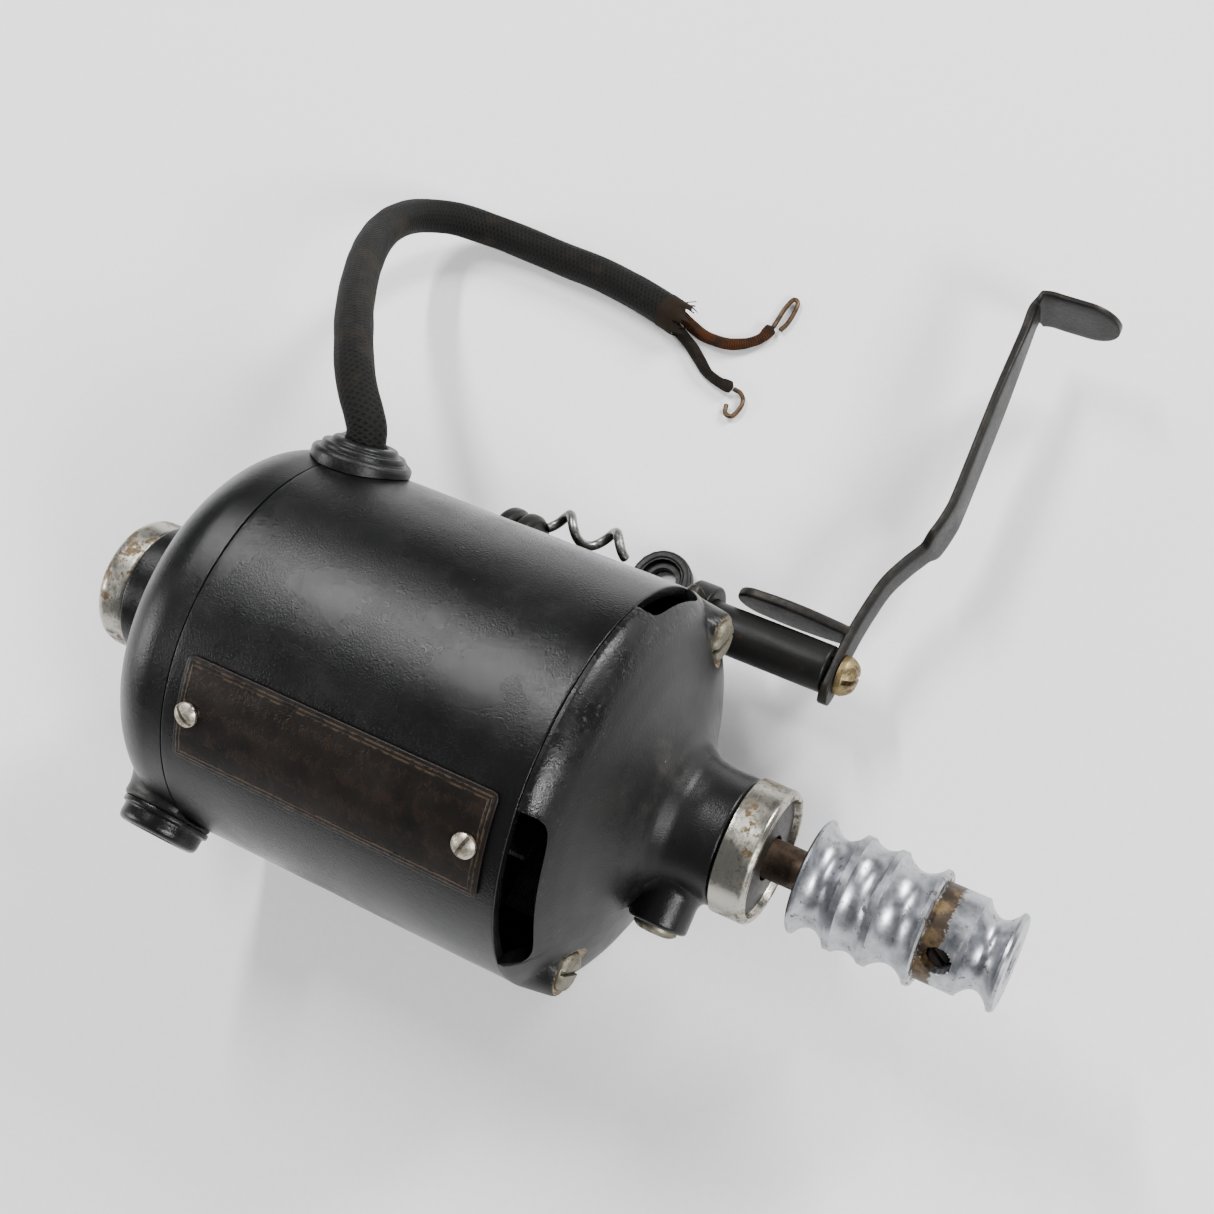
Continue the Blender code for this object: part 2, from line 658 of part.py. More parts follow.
# ---------------------------------------------------------------- brushes
def brush_gear():
    """Moulded holders, brass tubes, springs, screw caps and the sliding carbon brushes."""
    for side, angle in BRUSH_ANGLES.items():
        away = radial(angle)
        seat = on_axis(BRUSH_X)
        bottom = 33.0 * MM
        flange = BOSS_TOP + GAP
        well = 40.0 * MM
        mouth = 47.4 * MM
        profile = [(7.6 * MM, mouth), (8.5 * MM, mouth - 0.6 * MM), (8.75 * MM, mouth - 1.4 * MM)]
        profile += [(8.75 * MM, flange + 1.0 * MM), (9.5 * MM, flange + 0.9 * MM)]
        profile += [(9.5 * MM, flange), (6.2 * MM, flange), (6.2 * MM, bottom), (4.5 * MM, bottom)]
        profile += [(4.5 * MM, well), (5.9 * MM, well), (5.9 * MM, mouth - 0.6 * MM)]
        profile += [(6.5 * MM, mouth)]
        holder = turned(f"{side}_brush_holder", profile, MEDIUM, closed=True)
        register(aim(holder, seat, away), "moulded_black")
        wall = [(4.2 * MM, 39.6 * MM), (4.2 * MM, 13.0 * MM), (3.6 * MM, 13.0 * MM), (3.6 * MM, 39.6 * MM)]
        guide = turned(f"{side}_brush_tube", wall, COARSE, closed=True)
        register(aim(guide, seat, away), "brass")
        cap = rod(f"{side}_brush_cap", 5.5 * MM, well + GAP, 43.0 * MM)
        slot = block(
            f"{side}_cap_slot", (-7 * MM, -0.6 * MM, 42 * MM), (7 * MM, 0.6 * MM, 45 * MM)
        )
        slot.parent = cap
        cut(cap, slot)
        register(aim(cap, seat, away), "moulded_black")
        carrier = pivot(f"{side}_brush_slide", on_axis(BRUSH_X, COMMUTATOR_RADIUS, angle))
        brush = rod(f"{side}_carbon_brush", 3.2 * MM, COMMUTATOR_RADIUS + GAP, 24.0 * MM, COARSE)
        register(aim(brush, seat, away), "carbon")
        bpy.context.view_layer.update()
        attach(brush, carrier)
        spring = tube(f"{side}_brush_spring", coil(2.6 * MM, 24.9 * MM, 39.4 * MM, 4, 8), 0.35 * MM, 1)
        register(aim(spring, seat, away), "spring_steel")


def coil(radius, low, high, turns, per_turn):
    """Points along a helix about its own Z axis."""
    path = []
    for step in range(turns * per_turn + 1):
        share = step / (turns * per_turn)
        turn = 2 * math.pi * turns * share
        path.append((radius * math.cos(turn), radius * math.sin(turn), low + (high - low) * share))
    return path


# ---------------------------------------------------------------- rotor
def rotor():
    """Everything that spins: shaft, armature, commutator, fan and pulley."""
    carrier = pivot("rotor_pivot", MOTOR_AXIS)
    pieces = [rotor_shaft(), armature_core(), *armature_windings(), commutator(), cooling_fan()]
    pieces += [drive_pulley(), pulley_set_screw()]
    bpy.context.view_layer.update()
    for piece in pieces:
        attach(piece, carrier)


def rotor_shaft():
    """The one steel shaft, with both ends chamfered."""
    chamfer = 0.5 * MM
    profile = [(0.0, SHAFT_RIGHT), (SHAFT_RADIUS - chamfer, SHAFT_RIGHT)]
    profile += [(SHAFT_RADIUS, SHAFT_RIGHT - chamfer), (SHAFT_RADIUS, SHAFT_LEFT + chamfer)]
    profile += [(SHAFT_RADIUS - chamfer, SHAFT_LEFT), (0.0, SHAFT_LEFT)]
    return register(aim(turned("rotor_shaft", profile, MEDIUM), MOTOR_AXIS, ALONG_X), "rusty_steel")


def armature_core():
    """Laminations with twelve open slots."""
    teeth = 12
    outer = 19.4 * MM
    slot = 13.0 * MM
    outline = []
    for tooth in range(teeth):
        middle = 360.0 / teeth * tooth
        outline += arc(outer, middle - 10.5, middle + 10.5, 3)
        outline += arc(slot, middle + 11.5, middle + 18.5, 1)
    core = plate("armature_core", outline, -15 * MM, 15 * MM)
    cut(core, rod("armature_bore", RUNNING_RADIUS, -20 * MM, 20 * MM, MEDIUM))
    bpy.data.objects["armature_bore"].parent = core
    return register(aim(core, MOTOR_AXIS, ALONG_X), "lamination")


def armature_windings():
    """The end turns of the armature, one lump on each side of the core."""
    made = []
    for name, near, far in (("left_winding", -15.4, -27.5), ("right_winding", 15.4, 26.5)):
        low, high = sorted((near, far))
        span = high - low
        profile = [(9.0, high), (14.5, high - 0.1 * span), (18.0, high - 0.35 * span)]
        profile += [(18.0, low + 0.35 * span), (14.5, low + 0.1 * span), (9.0, low)]
        profile += [(4.4, low), (4.4, high)]
        shape = [(r * MM, x * MM) for r, x in profile]
        lump = turned(name, shape, 24, closed=True)
        made.append(register(aim(lump, MOTOR_AXIS, ALONG_X), "enamelled_wire"))
    return made


def commutator():
    """The copper drum that the brushes ride on, with its riser."""
    profile = [(12.2 * MM, -32.5 * MM), (12.2 * MM, -34.5 * MM), (COMMUTATOR_RADIUS, -35.2 * MM)]
    profile += [(COMMUTATOR_RADIUS, -53.2 * MM), (RUNNING_RADIUS, -53.2 * MM)]
    profile += [(RUNNING_RADIUS, -32.5 * MM)]
    drum = turned("commutator", profile, MEDIUM, closed=True)
    return register(aim(drum, MOTOR_AXIS, ALONG_X), "copper")


def cooling_fan():
    """A pressed fan: a disc with eight flat blades."""
    profile = [(30.0, 29.6), (30.0, 28.4), (8.0, 28.4), (4.3, 28.4), (4.3, 36.0), (7.4, 36.0)]
    profile += [(7.4, 29.6)]
    ordered = [(r * MM, x * MM) for r, x in profile]
    fan = turned("cooling_fan", ordered, MEDIUM, closed=True)
    aim(fan, MOTOR_AXIS, ALONG_X)
    for number in range(8):
        blade = block(
            f"fan_blade_{number}", (10.0 * MM, -0.5 * MM, 29.0 * MM), (29.0 * MM, 0.5 * MM, 36.5 * MM)
        )
        blade.rotation_euler = (0.0, 0.0, math.radians(45.0 * number + 4.0))
        blade.parent = fan
        join(fan, blade)
    return register(fan, "lamination")


def drive_pulley():
    """Three belt grooves, a plain collar and a wide end groove, turned from one bar."""
    rim = 11.35 * MM
    collar = 9.45 * MM
    grooves = [(82.4, 89.2, 8.9, rim), (90.6, 96.0, 10.2, rim), (97.2, 104.9, 9.1, rim)]
    profile = [(rim, PULLEY_LEFT)]
    for low, high, floor, edge in grooves:
        profile += hollow(low * MM, high * MM, floor * MM, edge, 5)
    profile += [(rim, 105.9 * MM), (collar, 106.1 * MM), (collar, 113.6 * MM)]
    profile += hollow(113.9 * MM, 120.2 * MM, 6.9 * MM, collar, 5)
    profile += [(9.5 * MM, PULLEY_RIGHT - 0.4 * MM), (9.1 * MM, PULLEY_RIGHT)]
    profile.reverse()
    profile += [(RUNNING_RADIUS, PULLEY_LEFT), (RUNNING_RADIUS, PULLEY_RIGHT)]
    pulley = turned("drive_pulley", profile, 28, closed=True)
    aim(pulley, MOTOR_AXIS, ALONG_X)
    hole = rod("set_screw_hole", SET_SCREW_RADIUS + GAP, 2 * MM, 20 * MM, COARSE)
    cut(pulley, aim(hole, on_axis(SET_SCREW_X), radial(SET_SCREW_ANGLE)))
    return register(pulley, "pulley_steel")


def hollow(low, high, floor, edge, steps):
    """A groove's hollow: a half sine from one edge down to its floor and back."""
    out = []
    for step in range(steps + 1):
        share = step / steps
        depth = (edge - floor) * math.sin(math.pi * share) ** 0.8
        out.append((edge - depth, low + (high - low) * share))
    return out


def pulley_set_screw():
    """The slotted screw that locks the pulley, sunk below the collar."""
    screw = rod("pulley_set_screw", SET_SCREW_RADIUS, 4.5 * MM, 8.1 * MM, COARSE)
    slot = block("set_screw_slot", (-4 * MM, -0.45 * MM, 7.0 * MM), (4 * MM, 0.45 * MM, 9 * MM))
    slot.parent = screw
    cut(screw, slot)
    return register(aim(screw, on_axis(SET_SCREW_X), radial(SET_SCREW_ANGLE)), "blackened_steel")


# ---------------------------------------------------------------- cord
def cord_grommet():
    """The two-step moulded ring that the cord comes out of."""
    saddle = BODY_RADIUS + GAP
    flange = 43.9 * MM
    step = 45.3 * MM
    top = 46.6 * MM
    profile = [(6.4 * MM, top), (7.0 * MM, top - 0.5 * MM), (7.2 * MM, step), (8.6 * MM, step)]
    profile += [(8.9 * MM, step - 0.5 * MM), (8.9 * MM, flange), (10.0 * MM, flange)]
    profile += [(10.6 * MM, flange - 0.7 * MM), (10.6 * MM, 38.0 * MM), (4.6 * MM, 38.0 * MM)]
    profile += [(4.6 * MM, top)]
    ring = turned("cord_grommet", profile, MEDIUM, closed=True)
    aim(ring, on_axis(GROMMET_X), radial(GROMMET_ANGLE))
    seat = rod("grommet_saddle", saddle, -80 * MM, 10 * MM, FINE)
    cut(ring, aim(seat, MOTOR_AXIS, ALONG_X))
    register(ring, "rubber")


def route_path(route, per_span=2):
    """A route in millimetres as a smooth path in metres."""
    return [point * MM for point in smooth_through(route, per_span)]


def supply_cord():
    """The braided cord, its two cut conductors and their bare twisted ends."""
    register(tube("supply_cord", route_path(CORD_ROUTE), CORD_RADIUS, 3), "cord_braid")
    register(tube("rust_conductor", route_path(RUST_ROUTE), CONDUCTOR_RADIUS), "rust_cloth")
    register(tube("dark_conductor", route_path(DARK_ROUTE), CONDUCTOR_RADIUS), "dark_cloth")
    register(tube("wire_loop", route_path(LOOP_ROUTE), WIRE_RADIUS), "bare_wire")
    register(tube("wire_hook", route_path(HOOK_ROUTE), WIRE_RADIUS), "bare_wire")


# ---------------------------------------------------------------- mounting
def upright(name, radius, x, y, low, high, segments=MEDIUM):
    """A plain vertical bar."""
    made = rod(name, radius, low, high, segments)
    made.location = (x, y, 0.0)
    return made


def mounting_base():
    """The cradle under the motor, its back plate and two counterbored lugs."""
    base = block("mounting_base", (-BASE_X, -BASE_Y, 0.0), (BASE_X, BASE_Y, 13.2 * MM), 0.8 * MM)
    rear = block("base_rear_plate", (-26 * MM, 20 * MM, 0.0), (29 * MM, 50 * MM, BASE_PLATE))
    join(base, rear)
    for side, (x, y) in (("back", BACK_LUG), ("front", FRONT_LUG)):
        inward = 12 * MM if y < 0 else -12 * MM
        low, high = sorted((y, y + inward))
        neck = block(f"{side}_lug_neck", (x - LUG_RADIUS, low, 0.0), (x + LUG_RADIUS, high, BASE_PLATE))
        join(base, neck)
        join(base, upright(f"{side}_lug", LUG_RADIUS, x, y, 0.0, BASE_PLATE))
        cut(base, upright(f"{side}_lug_hole", LUG_HOLE, x, y, -MM, 9 * MM))
        cut(base, upright(f"{side}_lug_counterbore", 4.9 * MM, x, y, 2.7 * MM, 9 * MM))
    cut(base, aim(rod("cradle", BODY_RADIUS + GAP, -60 * MM, 60 * MM, FINE), MOTOR_AXIS, ALONG_X))
    for side, x in BASE_SCREW_X.items():
        cut(base, upright(f"base_{side}_hole", 2.2 * MM, x, 0.0, -MM, 9 * MM, COARSE))
        cut(base, upright(f"base_{side}_counterbore", 4.0 * MM, x, 0.0, -MM, 2.2 * MM, COARSE))
    cut(base, upright("base_bracket_hole", 2.3 * MM, *BRACKET_SCREW, -MM, 9 * MM, COARSE))
    register(base, "blackened_steel")
    for side, x in BASE_SCREW_X.items():
        screw = slotted_head(f"base_screw_{side}", 3.6 * MM, 1.6 * MM, 1.9 * MM, 5.0 * MM, 0.9 * MM)
        register(aim(screw, (x, 0.0, 1.9 * MM), (0.0, 0.0, -1.0)), "blackened_steel")


def pivot_bracket():
    """The bearing tube for the lever's rod, its web and its screwed foot."""
    low, high = BRACKET_X
    tube_bar = rod("pivot_bracket", TUBE_RADIUS, *TUBE_X)
    aim(tube_bar, ROD_AXIS, ALONG_X)
    join(tube_bar, block("bracket_web", (low, 42.5 * MM, 5.0 * MM), (high, 51 * MM, ROD_Z)))
    foot = block(
        "bracket_foot",
        (low - 0.8 * MM, 28 * MM, BASE_PLATE + GAP),
        (high + 0.8 * MM, 51.6 * MM, 6.8 * MM),
    )
    join(tube_bar, foot)
    cut(tube_bar, aim(rod("bracket_bore", ROD_RADIUS + GAP, 0.0, 70 * MM), ROD_AXIS, ALONG_X))
    cut(tube_bar, upright("foot_hole", 2.3 * MM, *BRACKET_SCREW, 3 * MM, 9 * MM, COARSE))
    register(tube_bar, "blackened_steel")
    screw = slotted_head("bracket_screw", 3.5 * MM, 2.4 * MM, 1.95 * MM, 5.6 * MM, 0.9 * MM)
    screw.location = (*BRACKET_SCREW, 7.1 * MM)
    register(screw, "blackened_steel")


def stop_horn():
    """The pointed stop clamped on the bearing tube."""
    profile = [(8.2 * MM, 33.0 * MM), (8.2 * MM, 27.5 * MM), (TUBE_RADIUS + GAP, 27.5 * MM)]
    profile += [(TUBE_RADIUS + GAP, 33.0 * MM)]
    ring = turned("stop_horn", profile, MEDIUM, closed=True)
    aim(ring, ROD_AXIS, ALONG_X)
    outline = [(23.6, 6.3), (32.6, 6.3), (32.6, 8.4), (31.4, 11.8), (30.2, 12.3), (29.0, 11.7)]
    outline += [(27.4, 9.4), (25.2, 8.2), (23.6, 7.9)]
    fin = plate("horn_fin", [(x * MM, y * MM) for x, y in outline], -1.6 * MM, 1.6 * MM)
    fin.rotation_euler = (math.radians(10.0), 0.0, 0.0)
    fin.location = ROD_AXIS
    join(ring, fin)
    register(ring, "blackened_steel")


STRAP_LINE = (
    (62.9, -7.6),
    (62.9, -2.0),
    (62.9, 4.0),
    (63.2, 10.0),
    (63.9, 16.0),
    (65.0, 22.0),
    (67.3, 27.6),
    (70.3, 33.6),
    (71.6, 40.0),
    (71.7, 46.0),
    (70.8, 64.7),
    (69.8, 88.0),
    (69.4, 95.7),
)


def strap_outline():
    """The strap seen edge on: its middle line moved half a thickness to each side."""
    line = [p.to_2d() for p in smooth_through([(x, s, 0.0) for x, s in STRAP_LINE], 2)]
    left, right = [], []
    for i, point in enumerate(line):
        before = line[max(i - 1, 0)]
        after = line[min(i + 1, len(line) - 1)]
        run = (after - before).normalized()
        side = Vector((-run.y, run.x)) * (STRAP_THICK / MM / 2)
        left.append((point + side) * MM)
        right.append((point - side) * MM)
    return right + left[::-1]


def paddle(name, root, tip, width, low, high, neck=0.0):
    """A flat tongue across the strap from its root to a half-round tip."""
    sense = 1.0 if tip > root else -1.0
    half = width / 2
    centre = tip - sense * half
    outline = [(centre + sense * x, y) for x, y in arc(half, -90.0, 90.0, 8)]
    if neck:
        shoulder = root + sense * 5.5 * MM
        throat = root + sense * 2.5 * MM
        outline += [(shoulder, half), (throat, neck / 2), (root, neck / 2)]
        outline += [(root, -neck / 2), (throat, -neck / 2), (shoulder, -half)]
    else:
        outline += [(root, half), (root, -half)]
    made = plate(name, outline, -high, -low)
    made.rotation_euler = (math.radians(LEVER_RISE + 90.0), 0.0, 0.0)
    made.location = ROD_AXIS
    return made


def lever():
    """The joggled strap with its thumb pad and inner tongue, its rod, collars and screw."""
    carrier = pivot("lever_pivot", ROD_AXIS)
    half = STRAP_WIDTH / 2
    strap = plate("lever_strap", strap_outline(), -half, half)
    strap.rotation_euler = (math.radians(LEVER_RISE), 0.0, 0.0)
    strap.location = ROD_AXIS
    neck = STRAP_WIDTH + 0.6 * MM
    pad = paddle("lever_pad", 68.2 * MM, 88.4 * MM, PAD_WIDTH, 94.7 * MM, 96.4 * MM, neck)
    join(strap, pad)
    join(strap, paddle("lever_tongue", 63.6 * MM, 36.5 * MM, 8.8 * MM, 7.4 * MM, 9.6 * MM))
    cut(strap, aim(rod("strap_hole", 2.3 * MM, 55 * MM, 70 * MM, COARSE), ROD_AXIS, ALONG_X))
    register(strap, "blackened_steel")
    bar = rod("lever_rod", ROD_RADIUS, ROD_LEFT, 61.4 * MM, COARSE)
    aim(bar, ROD_AXIS, ALONG_X)
    cut(bar, aim(rod("rod_thread", 2.3 * MM, 52 * MM, 70 * MM, COARSE), ROD_AXIS, ALONG_X))
    register(bar, "blackened_steel")
    screw = slotted_head("lever_screw", 4.4 * MM, 3.4 * MM, 2.0 * MM, 10.5 * MM, 1.0 * MM)
    register(aim(screw, ROD_AXIS + ALONG_X * (64.3 * MM), ALONG_X), "brass")
    pieces = [strap, bar, screw]
    for name, low in (("rod_collar", -16.5), ("rod_lock_collar", -21.0)):
        profile = [(7.6, low + 4.2), (8.4, low + 3.5), (8.6, low + 2.1), (8.4, low + 0.7)]
        profile += [(7.6, low), (3.3, low), (3.3, low + 4.2)]
        collar = turned(name, [(r * MM, x * MM) for r, x in profile], MEDIUM, closed=True)
        pieces.append(register(aim(collar, ROD_AXIS, ALONG_X), "blackened_steel"))
    bpy.context.view_layer.update()
    for piece in pieces:
        attach(piece, carrier)


def return_spring():
    """The small open coil stretched beside the rod, from the collars towards the stop."""
    path = []
    for step in range(SPRING_STEPS + 1):
        share = step / SPRING_STEPS
        x = SPRING_X[0] + (SPRING_X[1] - SPRING_X[0]) * share
        turn = 2 * math.pi * (x - SPRING_PEAK_X) / SPRING_PITCH + math.radians(SPRING_FACING)
        path.append((x, SPRING_RADIUS * math.cos(turn), SPRING_RADIUS * math.sin(turn)))
    spring = tube("return_spring", path, SPRING_WIRE)
    spring.location = (0.0, SPRING_Y, SPRING_Z)
    register(spring, "spring_steel")


# ---------------------------------------------------------------- the whole motor
motor_body()
left_bell()
right_bell()
bearing_caps()
bearings()
oil_plugs()
through_bolts()
rating_plate()
field_core()
field_coils()
brush_gear()
rotor()
cord_grommet()
supply_cord()
mounting_base()
pivot_bracket()
stop_horn()
lever()
return_spring()
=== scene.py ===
"""The looks of a small black drive motor with a stepped pulley, a sprung lever and a cut cord.

Lengths are in millimetres until a mesh is made.  The motor's axis runs along +X at AXIS_HEIGHT.
An angle about it is 0 at the front (-Y), 90 on top and 180 at the back.
"""

import json
import logging
import math
from dataclasses import dataclass
from enum import Enum
from typing import Callable, Dict, List, Optional, Sequence, Tuple, Union

import bmesh
import bpy
import numpy as np
from mathutils import Matrix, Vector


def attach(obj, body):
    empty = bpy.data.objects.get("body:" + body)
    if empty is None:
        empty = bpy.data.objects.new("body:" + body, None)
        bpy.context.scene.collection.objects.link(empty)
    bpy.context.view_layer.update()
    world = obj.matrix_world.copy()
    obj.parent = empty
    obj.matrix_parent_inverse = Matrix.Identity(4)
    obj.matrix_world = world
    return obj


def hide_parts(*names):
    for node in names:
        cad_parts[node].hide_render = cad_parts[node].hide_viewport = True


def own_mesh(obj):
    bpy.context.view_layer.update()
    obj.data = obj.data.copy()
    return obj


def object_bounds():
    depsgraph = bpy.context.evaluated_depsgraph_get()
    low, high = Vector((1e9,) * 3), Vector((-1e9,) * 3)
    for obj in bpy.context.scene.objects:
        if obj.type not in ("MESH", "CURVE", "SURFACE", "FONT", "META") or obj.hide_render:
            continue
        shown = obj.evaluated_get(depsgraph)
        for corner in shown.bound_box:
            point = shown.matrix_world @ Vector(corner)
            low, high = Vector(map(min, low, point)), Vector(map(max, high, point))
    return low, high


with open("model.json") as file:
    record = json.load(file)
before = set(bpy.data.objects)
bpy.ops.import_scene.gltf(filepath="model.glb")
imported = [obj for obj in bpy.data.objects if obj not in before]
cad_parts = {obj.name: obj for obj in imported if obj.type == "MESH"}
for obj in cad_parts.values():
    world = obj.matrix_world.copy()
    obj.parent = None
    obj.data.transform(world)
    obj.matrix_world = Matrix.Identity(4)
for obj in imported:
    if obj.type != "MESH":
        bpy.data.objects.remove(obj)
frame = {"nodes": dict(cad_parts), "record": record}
CAD_BOX = [list(corner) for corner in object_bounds()]

log = logging.getLogger("motor")
Array = np.ndarray
Pair = Tuple[float, float]
Triple = Tuple[float, float, float]
Outline = Tuple[Pair, ...]
Path = Tuple[Triple, ...]
Colour = Triple
Ripple = Callable[[Array, Array], Array]

MM = 0.001
PER_METRE = 1000.0
WELD = 0.0005
AXIS_HEIGHT = 46.0
BODY_RADIUS = 41.8
SEAM = 38.1
BRUSH_X = -44.6
VERTICAL = (0.0, 0.0, 1.0)
ALONG_X = (1.0, 0.0, 0.0)
TO_FRONT = (0.0, -1.0, 0.0)
TURN = 2 * math.pi


# ------------------------------------------------------------------ lines
def through(points: Sequence[Sequence[float]], per_span: int) -> Array:
    """A smooth curve through given points.

    On each span it is the Catmull-Rom cubic, the one whose slope at a point is half the step
    from the point before it to the point after it.

    Args:
        points: The points, in any number of dimensions.
        per_span: How many steps each span is cut into.

    Returns:
        The points along the curve, the last one included.
    """
    spots = np.asarray(points, float)
    ends = np.vstack([2 * spots[0] - spots[1], spots, 2 * spots[-1] - spots[-2]])
    before, start, stop, after = ends[:-3], ends[1:-2], ends[2:-1], ends[3:]
    t = (np.arange(per_span) / per_span)[None, :, None]
    before, start, stop, after = (side[:, None, :] for side in (before, start, stop, after))
    pull = (stop - before) * t + (2 * before - 5 * start + 4 * stop - after) * t**2
    twist = (3 * start - 3 * stop + after - before) * t**3
    curve = start + (pull + twist) / 2
    return np.vstack([curve.reshape(-1, spots.shape[1]), spots[-1:]])


def softened(corners: Sequence[Sequence[float]], radius: float, closed: bool = False) -> Array:
    """A line through corners, each one rounded off.

    A corner becomes the parabola that leaves one side a radius before it and joins the next
    side a radius after it, or nearly half a side where the side is short.

    Args:
        corners: The corners in order.
        radius: How far from a corner its rounding starts.
        closed: Whether the line comes back to its first corner.

    Returns:
        The rounded line's points, with no two alike in a row.
    """
    here = np.asarray(corners, float)
    last, following = np.roll(here, 1, axis=0), np.roll(here, -1, axis=0)
    if not closed:
        last[0], following[-1] = here[0], here[-1]
    back, ahead = last - here, following - here
    long_back = np.linalg.norm(back, axis=1, keepdims=True)
    long_ahead = np.linalg.norm(ahead, axis=1, keepdims=True)
    reach = np.minimum(radius, 0.45 * np.minimum(long_back, long_ahead))
    first = here + back / np.maximum(long_back, 1e-9) * reach
    final = here + ahead / np.maximum(long_ahead, 1e-9) * reach
    t = np.linspace(0, 1, 6)[None, :, None]
    first, here, final = first[:, None], here[:, None], final[:, None]
    line = ((1 - t) ** 2 * first + 2 * t * (1 - t) * here + t**2 * final).reshape(-1, here.shape[-1])
    step = np.linalg.norm(np.diff(line, axis=0), axis=1)
    return line[np.concatenate([[True], step > 1e-6])]


def filled_in(line: Array, step: float, closed: bool = False) -> Array:
    """The same line with its long stretches cut into even steps no longer than step."""
    if closed:
        return filled_in(np.vstack([line, line[:1]]), step)[:-1]
    length = np.concatenate([[0], np.cumsum(np.linalg.norm(np.diff(line, axis=0), axis=1))])
    even = np.arange(0, length[-1], step)
    stops = np.unique(np.concatenate([length, even]))
    return np.stack([np.interp(stops, length, line[:, k]) for k in range(line.shape[1])], axis=1)


def rounded(corners: Sequence[Sequence[float]], radius: float, step: float, loop: bool = False) -> Array:
    """A closed line with its corners rounded and its long stretches cut; loop cuts the last one too."""
    return filled_in(softened(corners, radius, closed=True), step, closed=loop)


def arc(radius: float, first: float, last: float, steps: int, middle: Sequence[float]) -> Array:
    """Points on a circle in a plane, from one angle in degrees to another."""
    turn = np.radians(np.linspace(first, last, steps + 1))
    return np.stack([middle[0] + radius * np.cos(turn), middle[1] + radius * np.sin(turn)], axis=1)


def uneven(seed: int, size: float, waves: int = 7) -> Ripple:
    """A gentle unevenness over a surface: a sum of sines with seeded directions.

    Args:
        seed: Chooses the sines.
        size: The largest height, in millimetres.
        waves: How many sines are added.

    Returns:
        A function of two arrays, whole turns and millimetres, that gives heights.
    """
    chance = np.random.default_rng(seed)
    around = chance.integers(1, 9, waves)
    along = chance.uniform(-0.6, 0.6, waves)
    phase = chance.uniform(0, TURN, waves)

    def height(turn: Array, station: Array) -> Array:
        """The sum of the sines at each pair of turn and station."""
        angle = turn[..., None] * TURN * around + station[..., None] * along + phase
        return size / waves * np.sin(angle).sum(axis=-1)

    return height


# ------------------------------------------------------------------ meshes
def surface(
    name: str,
    points: Array,
    wrap_rows: bool = False,
    chart: Optional[Array] = None,
    masks: Optional[Dict[str, Array]] = None,
    crease: float = 38.0,
) -> bpy.types.Object:
    """Joins a grid of points into one closed mesh whose faces point outwards.

    Args:
        name: The piece's name.
        points: Rows by columns by three, in millimetres.
        wrap_rows: Whether the last row joins the first, as the last column always does.
        chart: The UV place of each grid corner, one more row or column where it wraps.
        masks: Named values for each point, read by materials.
        crease: Faces that meet at more than this many degrees keep a sharp edge.

    Returns:
        The object, at the origin, with its place in its mesh.
    """
    rows, columns = points.shape[:2]
    index = np.arange(rows * columns).reshape(rows, columns)
    if wrap_rows:
        index = np.vstack([index, index[:1]])
    index = np.hstack([index, index[:, :1]])
    quads = np.stack([index[:-1, :-1], index[1:, :-1], index[1:, 1:], index[:-1, 1:]], axis=-1)
    quads = quads.reshape(-1, 4)
    flat = points.reshape(-1, 3) * MM
    a, b, c, d = (flat[quads[:, k]] for k in range(4))
    volume = np.einsum("ij,ij->", a, np.cross(b, c)) + np.einsum("ij,ij->", a, np.cross(c, d))
    order = [0, 1, 2, 3] if volume > 0 else [3, 2, 1, 0]
    mesh = bpy.data.meshes.new(name)
    mesh.from_pydata(flat, [], quads[:, order])
    if chart is not None:
        corners = [chart[:-1, :-1], chart[1:, :-1], chart[1:, 1:], chart[:-1, 1:]]
        laid = np.stack(corners, axis=-2).reshape(-1, 4, 2)[:, order]
        mesh.uv_layers.new(name="chart").data.foreach_set("uv", laid.astype(np.float32).ravel())
    for label, values in (masks or {}).items():
        layer = mesh.attributes.new(label, "FLOAT", "POINT")
        layer.data.foreach_set("value", np.asarray(values, np.float32).ravel())
    shape = bmesh.new()
    shape.from_mesh(mesh)
    bmesh.ops.remove_doubles(shape, verts=shape.verts, dist=WELD * MM)
    shape.to_mesh(mesh)
    shape.free()
    mesh.shade_smooth()
    mesh.set_sharp_from_angle(angle=math.radians(crease))
    made = bpy.data.objects.new(name, mesh)
    bpy.context.scene.collection.objects.link(made)
    return made


@dataclass(frozen=True)
class Seat:
    """Where a turned piece stands: a point on its axis, the axis, and where its turn starts."""

    origin: Triple
    axis: Triple
    start: Triple

    def spread(self, radius: Array, angle: Array, station: Array) -> Array:
        """Points at a radius and angle about the axis and a station along it."""
        start = np.array(self.start)
        side = np.cross(start, np.array(self.axis))
        out = radius[..., None] * (np.cos(angle)[..., None] * start + np.sin(angle)[..., None] * side)
        return np.array(self.origin) + out + station[..., None] * np.array(self.axis)


MOTOR_SEAT = Seat((0.0, 0.0, AXIS_HEIGHT), ALONG_X, TO_FRONT)


def radial(angle: float) -> Triple:
    """The direction away from the motor's axis at an angle in degrees."""
    turn = math.radians(angle)
    return (0.0, -math.cos(turn), math.sin(turn))


def spoke_seat(x: float, angle: float) -> Seat:
    """A seat whose axis stands out from the motor's axis at one station and angle."""
    return Seat((x, 0.0, AXIS_HEIGHT), radial(angle), ALONG_X)


